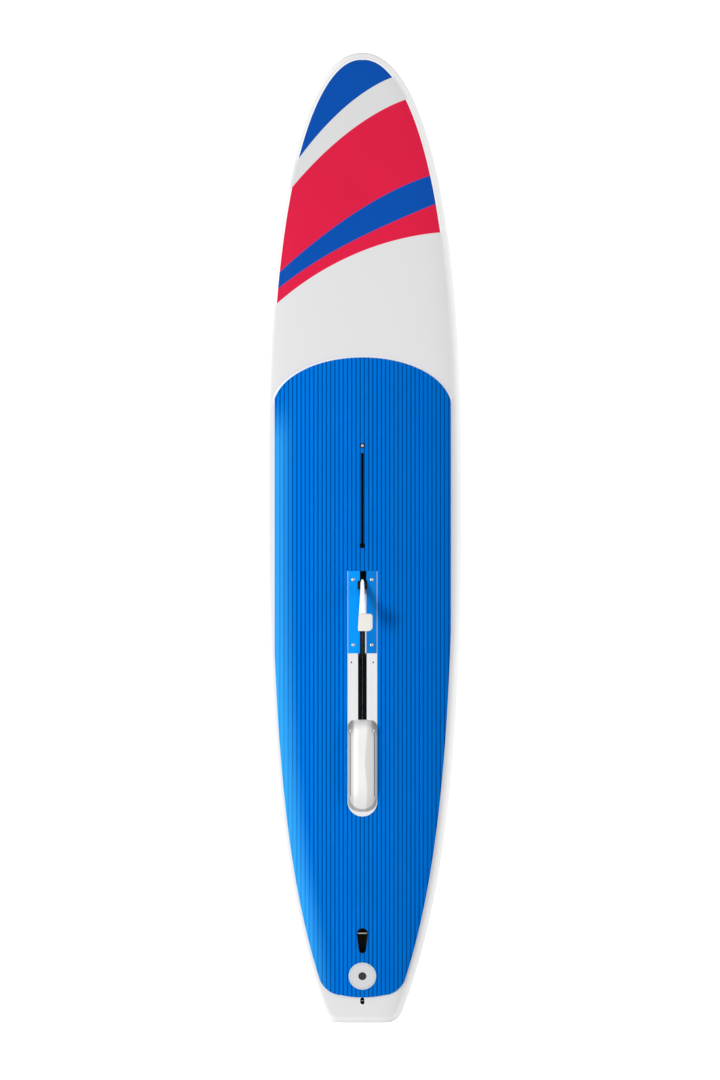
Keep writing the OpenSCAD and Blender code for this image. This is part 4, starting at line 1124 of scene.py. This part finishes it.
class BOARD_OT_tip_cover(BoardStep):
    """Bright cover at the rear of the slot: a pressed sheet, round across, with a flat middle, an embossed
    edge and a hipped back"""
    bl_idname = "board.tip_cover"
    bl_label = "Bright cover"

    def surface(self, low, high, half):
        """The sheet's outer surface, as a grid from front to rear and from starboard to port."""
        u = np.concatenate([np.linspace(0, 0.10, 14)[:-1], np.linspace(0.10, 0.72, 30)[:-1],
                            np.linspace(0.72, 1, 26)])
        rows, cols = np.meshgrid(u, np.sin(np.linspace(-np.pi / 2, np.pi / 2, 81)), indexing="ij")
        across = np.abs(cols)
        # plan: a front edge that bows and turns at its corners, a rear that is nearly a half round
        corner = 0.016 * np.clip((across - 0.70) / 0.30, 0, 1) ** 2.2
        front = high[0] - 0.0005 - corner - 0.006 * across**2
        rear = low[0] + 0.0005 + 0.034 * (1 - np.sqrt(np.clip(1 - across**2.4, 0, 1)))
        x = front + (rear - front) * rows
        y = half * cols * (1 - 0.035 * np.clip((rows - 0.80) / 0.20, 0, 1) ** 2 * (across > 0))
        # height: steep at the front, full over the middle and let down to the back
        rise_front = 1 - (1 - np.clip((front - x) / 0.045, 0, 1)) ** 2.6
        fall = 1 - (1 - np.clip((x - rear) / 0.085, 0, 1)) ** 2.0
        slope = 1 - 0.10 * rows
        side = np.clip((across - 0.26) / 0.74, 0, 1)
        dome = np.sqrt(np.clip(1 - 0.30 * side - 0.70 * side**1.9, 0, 1))
        # a narrow step pressed along the sides
        middle_x, run = (high[0] + low[0]) / 2, (high[0] - low[0]) * 0.37
        along = np.clip(1 - np.abs(x - middle_x + 0.004) / run, 0, 1) ** 0.2
        emboss = 0.0012 * along / (1 + np.exp((np.abs(y) - (half - 0.0075)) / 0.0007))
        tall = high[2] - low[2] - 0.0018
        z = low[2] + 0.0002 + tall * rise_front * fall * slope * dome + emboss * (dome > 0.05)
        return np.stack([x, y, np.minimum(z, high[2])], axis=-1)

    def build(self):
        low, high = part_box("tip_cover")
        half, sheet = high[1] - 0.0002, 0.0012
        outside = self.surface(low, high, half)
        x, y, z = outside[..., 0], outside[..., 1], outside[..., 2]
        middle_x, length_x = (high[0] + low[0]) / 2, high[0] - low[0]
        shrink_x = (length_x - 2 * sheet) / length_x
        shrink_y = (half - sheet) / half
        inside = np.stack([middle_x + (x - middle_x) * shrink_x, y * shrink_y,
                           np.maximum(z - sheet * 1.3, low[2] + 0.0002)], axis=-1)
        rows, cols = x.shape
        count = rows * cols
        points = np.concatenate([outside.reshape(-1, 3), inside.reshape(-1, 3)])
        index = np.arange(count).reshape(rows, cols)
        border = np.concatenate([index[0, :-1], index[:-1, -1], index[-1, :0:-1], index[:0:-1, 0]])
        after = np.roll(border, -1)
        rim = np.stack([after, border, border + count, after + count], axis=-1)
        faces = np.concatenate([grid_faces(rows, cols), grid_faces(rows, cols, start=count)[:, ::-1], rim])
        if signed_volume(points, faces) < 0:
            faces = faces[:, ::-1]
        new_piece("tip_cover_pressed", (points, [faces]), "hull", "polished_steel", ("tip_cover",), angle=60)
        self.rivets()

    def rivets(self):
        low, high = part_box("tip_cover_screws")
        r, shank, top = 0.0035, 0.0015, high[2]
        profile = [
            (0.0, low[2]), (shank, low[2]), (shank, top - 0.0018), (r, top - 0.0018), (r, top - 0.0010),
            (r * 0.7, top - 0.0003), (r * 0.3, top), (0.0, top)]
        heads("tip_cover_rivets", [((low[0] + high[0]) / 2, y) for y in (low[1] + r, high[1] - r)], profile,
              24, "screw_steel", ("tip_cover_screws",))


def on_lever(u, v):
    """A point of the lever: u runs along it to the rear and v away from it."""
    return (PIVOT[0] - u * math.cos(LEVER_ANGLE) + v * math.sin(LEVER_ANGLE),
            PIVOT[2] + u * math.sin(LEVER_ANGLE) + v * math.cos(LEVER_ANGLE))


def on_blade(s, c):
    """A point of the daggerboard: s runs down it from the pivot and c forward."""
    return (PIVOT[0] - s * math.sin(RAKE) + c * math.cos(RAKE),
            PIVOT[2] - s * math.cos(RAKE) - c * math.sin(RAKE))


FOIL_PEAK = 0.3849


def foil(u):
    """Half thickness of the section from nose to tail, as a share of its greatest: sqrt(u) (1 - u)."""
    return np.sqrt(u) * (1 - u) / FOIL_PEAK


def foil_ring(le, te, half_t, place, count=26):
    """Closed section rings between the leading and trailing edges, one row for each span station."""
    u = (1 - np.cos(np.linspace(0, np.pi, count))) / 2
    there = np.concatenate([u, u[-2:0:-1]])
    side = np.concatenate([np.ones(count), -np.ones(count - 2)])
    chordwise = le[:, None] - there[None, :] * (le - te)[:, None]
    y = side[None, :] * half_t[:, None] * foil(there)[None, :]
    y[:, count - 1] = 0
    x, z = place(chordwise)
    return np.stack([x, y, z], axis=-1)


class BOARD_OT_daggerboard(BoardStep):
    """Daggerboard blade, its head and hub fittings"""
    bl_idname = "board.daggerboard"
    bl_label = "Daggerboard"

    def build(self):
        tip_s = BLADE_L - BLADE_TIP_L
        turn = np.linspace(0, np.pi / 2, 24)
        span = np.concatenate([np.linspace(HEAD_H, tip_s, 30)[:-1],
                               tip_s + (BLADE_TIP_L - 0.0005) * np.sin(turn)])
        share = (span - HEAD_H) / (BLADE_L - HEAD_H)
        nose = BLADE_FRONT - 0.034 * share**2.2
        tip_share = np.clip((span - BLADE_L + BLADE_TIP_L) / BLADE_TIP_L, 0, 1)
        tip = 1 - np.sqrt(1 - tip_share**2)
        le = nose - 0.52 * (nose + BLADE_BACK) * tip
        te = -BLADE_BACK + 0.36 * (nose + BLADE_BACK) * tip
        half_t = BLADE_T / 2 * (1 - 0.3 * share**2) * np.sqrt((le - te) / (nose + BLADE_BACK))
        rings = foil_ring(le, te, half_t, lambda c: on_blade(span[:, None], c))
        tang = [on_blade(HEAD_H + s, c) for s, c in ((-0.046, 0.020), (-0.046, 0.120), (0.012, 0.120),
                                                     (0.012, 0.020))]
        new_piece("daggerboard_foil", joined(closed_tube(rings), side_prism(tang, 0.006)), "daggerboard",
                  "blade_white", ("dagger_blade",), angle=50)
        for node, name, slot, width, finish in (
                ("dagger_head", "daggerboard_head", "black_plastic", 0.0008, "grey_plastic"),
                ("lever_bolts", "lever_bolt_heads", "screw_steel", 0.0003, "dark_steel"),
                ("lever_nuts", "lever_hex_nuts", "screw_steel", 0.0003, "dark_steel")):
            softened(node, name, "daggerboard", slot, width, finish=finish)


class BOARD_OT_lever(BoardStep):
    """Foot lever and its pedal"""
    bl_idname = "board.lever"
    bl_label = "Foot lever"

    def build(self):
        """Superellipse sections carried along u, narrow at the nose and wide at the pedal."""
        start, end, nose_l, tail_l, middle = -0.0100, 0.2030, 0.012, 0.010, 0.023
        u = np.concatenate([start + nose_l * (1 - np.cos(np.linspace(0, np.pi / 2, 12))),
                            np.linspace(start + nose_l, end - tail_l, 34)[1:-1],
                            end - tail_l * (1 - np.sin(np.linspace(0, np.pi / 2, 10)))])
        nose = end_share(u - start + 0.0004, nose_l)
        tail = end_share(end - u + 0.0004, tail_l)
        half_w = 0.0058 + 0.0075 * np.clip((u - start) / (0.140 - start), 0, 1)
        half_w = half_w * (0.25 + 0.75 * nose) * (0.35 + 0.65 * tail)
        thick = 0.0070 * (0.55 + 0.45 * nose) * (0.30 + 0.70 * tail)
        angle = np.linspace(0, 2 * np.pi, 48, endpoint=False)
        across, up = (np.sign(share) * np.abs(share) ** (2 / 3.2) for share in (np.cos(angle), np.sin(angle)))
        y = half_w[:, None] * across[None, :]
        x, z = on_lever(u[:, None], middle + thick[:, None] * up[None, :])
        new_piece("lever_shaped", closed_tube(np.stack([x, y, z], axis=-1)), "daggerboard", "blade_white",
                  ("dagger_lever",), angle=60, finish="lever_white")
        self.pedal()

    def pedal(self):
        """A cushioned plate: its outline shrinks as its edge turns over, and its top is a little crowned."""
        u, y = (0.1395, 0.2105), (-0.038, 0.017)
        base, top, edge = 0.0300, 0.0380, 0.0030
        turn = np.linspace(-np.pi / 2, np.pi / 2, 15)
        inset = edge * (1 - np.cos(turn))
        level = np.where(turn < 0, base + edge * (1 + np.sin(turn)), top - edge * (1 - np.sin(turn)))
        rings = []
        for grow, height in zip(inset, level):
            radii = [r - grow * 0.6 for r in (0.007, 0.006, 0.011, 0.017)]
            outline = rounded_box_outline((u[0] + grow, u[1] - grow), (y[0] + grow, y[1] - grow), radii, 12)
            rings.append(at_height(outline, height))
        last = rings[-1][:, :2]
        centre = last.mean(axis=0)
        for scale in (0.85, 0.6, 0.3):
            rings.append(at_height(centre + (last - centre) * scale, top + 0.0007 * (1 - scale**2)))
        grid = np.array(rings)
        # the side nearer the hub is a little narrower than the far one
        share = (grid[..., 0] - u[0]) / (u[1] - u[0])
        grid[..., 1] = grid[..., 1] + 0.0035 * (share - 1) * (grid[..., 1] > 0)
        x, z = on_lever(grid[..., 0], grid[..., 2])
        new_piece("pedal_cushioned", closed_tube(np.stack([x, grid[..., 1], z], axis=-1)), "daggerboard",
                  "pedal_cream", ("lever_pedal",), angle=60)


class BOARD_OT_fin(BoardStep):
    """Fin and the fittings that hold it in its box"""
    bl_idname = "board.fin"
    bl_label = "Fin"

    def build(self):
        tip_from = 0.93
        k = np.concatenate([np.linspace(0, tip_from, 34)[:-1],
                            tip_from + 0.07 * np.sin(np.linspace(0, np.pi / 2, 14))])
        le = FIN_ROOT_X - FIN_SWEEP * k**1.5
        te = FIN_REAR_X - (FIN_SWEEP - (FIN_ROOT_X - FIN_REAR_X) + FIN_TIP_CHORD) * k**2.4
        close = np.where(k > tip_from, 0.45 * (np.clip(k - tip_from, 0, None) / 0.07) ** 2, 0)
        chord = le - te
        le, te = le - close * chord, te + close * chord / 2
        half = FIN_TAB_T / 2
        half_t = half * ((le - te) / (FIN_ROOT_X - FIN_REAR_X)) ** 0.6
        rings = foil_ring(le, te, half_t, lambda c: (c, -FIN_DEPTH * k[:, None] + 0 * c))
        lug_x, hole_x = FIN_ROOT_X - 0.0045, FIN_FRONT_X - 0.014
        tab = box_part((FIN_REAR_X, -half, -0.0001), (lug_x, half, 0.025))
        lug = box_part((lug_x, -half, 0.0), (FIN_FRONT_X, half, 0.012))
        holes = [outline_prism(arc((hole_x, 0), r, 0, 345), -0.01, high)
                 for r, high in ((0.002, 0.02), (0.0036, 0.0025))]
        new_piece("fin_foil", joined(closed_tube(rings), tab), "fin", "fin_dark", ("fin",), angle=50)
        new_piece("fin_lug", lug, "fin", "fin_dark", ("fin",), holes)
        softened("fin_box", "fin_box_rounded", "hull", "black_plastic", 0.0005)
        softened("fin_screw", "fin_screw_head", "fin", "screw_steel", 0.0003)


class BOARD_OT_cups(BoardStep):
    """Grip cup and leash cup, each with a rounded lip; their steel bars stay as the frame's own nodes"""
    bl_idname = "board.cups"
    bl_label = "Cups"

    def cup(self, name, outline_at, station, depth, stand, wall, replaces):
        """Rings of one outline: up the outside, over a rounded lip and down the inside to the floor."""
        lip = wall * 0.5
        steps = [(-0.0015, -depth), (0.0, -depth + 0.001), (0.0, stand - lip)]
        steps += [(-lip + lip * math.cos(a), stand - lip + lip * math.sin(a))
                  for a in np.linspace(0, np.pi, 9)[1:-1]]
        steps += [(-wall, stand - lip), (-wall, -depth * 0.75), (-wall * 1.25, -depth * 0.88),
                  (-wall * 2.2, -depth + wall * 1.3), (-wall * 3.6, -depth + wall)]
        rings = np.array([at_height(outline_at(grow), height) for grow, height in steps])
        new_piece(name, placed(closed_tube(rings), station), "hull", "black_plastic", replaces, angle=50)

    def build(self):
        self.cup("grip_cup_lipped", grip_outline, GRIP_MIDDLE_X, 0.032, PAD_T, 0.0025, ("grip_cup",))
        self.cup("leash_cup_lipped", leash_outline, LEASH_X, 0.026, 0.001, 0.002, ("leash_cup",))


class BOARD_OT_badge(BoardStep):
    """Round badge: a disc with a raised rim, a ring of ticks and a dark middle"""
    bl_idname = "board.badge"
    bl_label = "Badge"

    def build(self):
        low, top, r = PAD_T - BADGE_T, PAD_T, BADGE_R
        sunk, ring = top - 0.0004, top - 0.0001
        disc = lathe([(0.0, low), (r - 0.0003, low), (r, low + 0.0004), (r, top - 0.0003),
                      (r - 0.0006, top + 0.0002), (r - 0.0024, top + 0.0002), (r - 0.0030, sunk),
                      (0.0430, sunk), (0.0426, ring), (0.0418, ring), (0.0414, sunk), (0.0, sunk)],
                     segments=128)
        new_piece("tail_badge", placed(disc, BADGE_X), "hull", "badge_grey", ("badge_disc",))
        marks = []
        for turn in np.linspace(0, 360, 36, endpoint=False):
            angle = math.radians(turn)
            start, end, half = 0.0450 if round(turn) % 30 else 0.0440, 0.0478, 0.0005
            tick = np.array([(start, -half), (end, -half), (end, half), (start, half)])
            spin = np.array([[math.cos(angle), math.sin(angle)], [-math.sin(angle), math.cos(angle)]])
            marks.append(outline_prism(tick @ spin, top - 0.0006, ring))
        marks.append(lathe([(0.0, top - 0.0006), (0.0150, top - 0.0006), (0.0153, top - 0.0003),
                            (0.0148, top + 0.0001), (0.0, top + 0.0003)], segments=64))
        new_piece("tail_badge_marks", placed(joined(*marks), BADGE_X), "hull", "black_plastic",
                  ("badge_disc",), finish="badge_dark")


class BOARD_OT_vent(BoardStep):
    """Vent bush and its slotted screw, turned from profiles"""
    bl_idname = "board.vent"
    bl_label = "Vent"

    def build(self):
        bore, seat, shelf = 0.0050, 0.0070, DECK_Z - 0.003
        low, top = DECK_Z - 0.030, TOP_Z - 0.001
        centre = (VENT_X, 0.0, 0.0)
        bush = lathe_ring([(bore, low), (VENT_R - 0.0003, low), (VENT_R, low + 0.0004),
                           (VENT_R, top - 0.0006), (VENT_R - 0.0006, top), (seat + 0.0004, top),
                           (seat, top - 0.0004), (seat, shelf), (bore, shelf)], centre, 64)
        new_piece("vent_bush_turned", bush, "hull", "black_plastic", ("vent_bush",))
        low, head = (corner[2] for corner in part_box("vent_screw"))
        r, shank, under = 0.0060, 0.0048, head - 0.005
        screw = lathe([(0.0, low), (shank - 0.0006, low), (shank, low + 0.0008), (shank, under),
                       (r - 0.0002, under), (r, under + 0.0004), (r, head - 0.0012),
                       (r - 0.0006, head - 0.0004), (r * 0.6, head), (0.0, head)], centre)
        slot = box_part((VENT_X - 0.008, -0.0008, head - 0.0015), (VENT_X + 0.008, 0.0008, head + 0.01))
        new_piece("vent_screw_slotted", screw, "vent_screw", "screw_steel", ("vent_screw",), [slot])


CARRIED = {
    "hull_core": "foam", "track_foam_block": "dense_foam", "fin_foam_block": "dense_foam",
    "mast_track": "black_plastic", "vent_o_ring": "black_rubber", "dagger_case": "black_plastic",
    "bearing_block_port": "grey_plastic", "bearing_block_starboard": "grey_plastic",
    "rear_anchor_blocks": "grey_plastic", "slot_lips": "black_rubber", "down_stop": "black_rubber",
    "friction_pads": "glide_pads", "pivot_pin": "screw_steel", "pivot_washers": "grey_plastic",
    "tang_bolts": "screw_steel", "grip_bar": "screw_steel", "leash_pin": "screw_steel",
    "fin_roller_pin": "brass", "fin_plate": "screw_steel",
}


class BOARD_OT_carried(BoardStep):
    """Finishes for the frame's own nodes that stay as they are"""
    bl_idname = "board.carried"
    bl_label = "Carried nodes"

    def build(self):
        for node, finish in CARRIED.items():
            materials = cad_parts[node].data.materials
            if not len(materials):
                materials.append(FINISHES[finish])
            for index in range(len(materials)):
                materials[index] = FINISHES[finish]
        left = {name for name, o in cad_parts.items() if not o.hide_render} - set(CARRIED)
        if left:
            raise RuntimeError(f"no finish for {sorted(left)}")


class BOARD_OT_stage(bpy.types.Operator):
    """Pale floor, white surround, one large soft lamp and the camera straight above the deck"""
    bl_idname = "board.stage"
    bl_label = "Stage"
    bl_options = {"REGISTER", "UNDO"}

    def execute(self, context):
        scene = context.scene
        scene.view_settings.view_transform = "Standard"
        self.floor()
        self.surround(scene)
        self.lamps(scene)
        self.camera(scene)
        return {"FINISHED"}

    def floor(self):
        """A level sheet that shows as white, and that lights the board from below as a pale grey."""
        half, level = 14.0, CAD_LOW[2] - 0.02
        corners = half * np.array([[-1, -1, 0], [1, -1, 0], [1, 1, 0], [-1, 1, 0]]) + [0, 0, level]
        floor = linked("floor", make_mesh("floor", (corners, [np.array([[0, 1, 2, 3]])])))
        f = Finish("pale_floor")
        lit = f.add("BsdfDiffuse", {"Color": (0.50, 0.50, 0.50)})
        glow = f.add("Emission", {"Color": (1, 1, 1), "Strength": 0.68})
        both = f.add("AddShader", {0: lit.outputs[0], 1: glow.outputs[0]})
        f.seen_or_else(both, f.add("BsdfDiffuse", {"Color": (0.90, 0.90, 0.90)}))
        floor.data.materials.append(f.material)
        floor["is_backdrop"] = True

    def surround(self, scene):
        scene.world = bpy.data.worlds.new("surround")
        graph = Graph(scene.world, "OutputWorld")
        white, even = (graph.add("Background", {0: (1.0, 1.0, 1.0), 1: strength})
                       for strength in (1.0, scene.board_light.sky))
        graph.seen_or_else(white, even)

    def lamps(self, scene):
        """A wide lamp high on the port side, a little aft, and a weak one low on the other side, aimed at the
        middle of the board."""
        self.lamp("soft_lamp", scene.board_light.key, (-0.9, 4.6, 5.2), (3.0, 1.8))
        self.lamp("fill_lamp", scene.board_light.fill, (0.3, -6.0, 2.4), (5.0, 1.6))

    def lamp(self, name, power, place, size):
        lamp = bpy.data.lights.new(name, "AREA")
        lamp.shape = "RECTANGLE"
        lamp.size, lamp.size_y = size
        lamp.energy = power
        place = np.array(place)
        back = place - [0.0, 0.0, 0.1]
        back /= np.linalg.norm(back)
        right = np.cross([0.0, 0.0, 1.0], back)
        right /= np.linalg.norm(right)
        turned = np.column_stack([right, np.cross(back, right), back, place])
        linked(name, lamp).matrix_world = Matrix((*turned.tolist(), (0, 0, 0, 1)))

    def camera(self, scene):
        """Straight above the board with the nose up: 4.0666 m of height in view at deck level."""
        view_tall, lens, sensor = 4.0666, 135.0, 36.0
        camera = bpy.data.cameras.new("camera")
        camera.sensor_fit = "VERTICAL"
        camera.sensor_height = sensor
        camera.lens = lens
        camera.clip_end = 100.0
        rig = linked("camera", camera)
        rig.location = (-0.0013, 0.0090, DECK_Z + view_tall * lens / sensor)
        rig.rotation_euler = (0.0, 0.0, -math.pi / 2)
        scene.camera = rig


class BOARD_PT_steps(bpy.types.Panel):
    """The steps and settings, in the sidebar"""
    bl_label = "Windsurf board"
    bl_idname = "BOARD_PT_steps"
    bl_space_type = "VIEW_3D"
    bl_region_type = "UI"
    bl_category = "Board"

    def draw(self, context):
        layout = self.layout
        for group in (context.scene.board_sizes, context.scene.board_colours, context.scene.board_light):
            column = layout.column()
            for key in group.bl_rna.properties.keys():
                if key not in ("rna_type", "name"):
                    column.prop(group, key)
        for step in STEPS:
            layout.operator(step.bl_idname)


STEPS = (BOARD_OT_hull, BOARD_OT_pad, BOARD_OT_slot, BOARD_OT_tip_cover, BOARD_OT_daggerboard, BOARD_OT_lever,
         BOARD_OT_fin, BOARD_OT_cups, BOARD_OT_badge, BOARD_OT_vent, BOARD_OT_carried, BOARD_OT_stage)
CLASSES = (BoardSizes, BoardColours, StageLight, *STEPS, BOARD_PT_steps)


def register():
    for cls in CLASSES:
        bpy.utils.register_class(cls)
    bpy.types.Scene.board_sizes = PointerProperty(type=BoardSizes)
    bpy.types.Scene.board_colours = PointerProperty(type=BoardColours)
    bpy.types.Scene.board_light = PointerProperty(type=StageLight)


def unregister():
    del bpy.types.Scene.board_light
    del bpy.types.Scene.board_colours
    del bpy.types.Scene.board_sizes
    for cls in reversed(CLASSES):
        bpy.utils.unregister_class(cls)


def main():
    register()
    make_finishes()
    for step in STEPS:
        group, name = step.bl_idname.split(".")
        getattr(getattr(bpy.ops, group), name)()


if __name__ == "__main__":
    main()
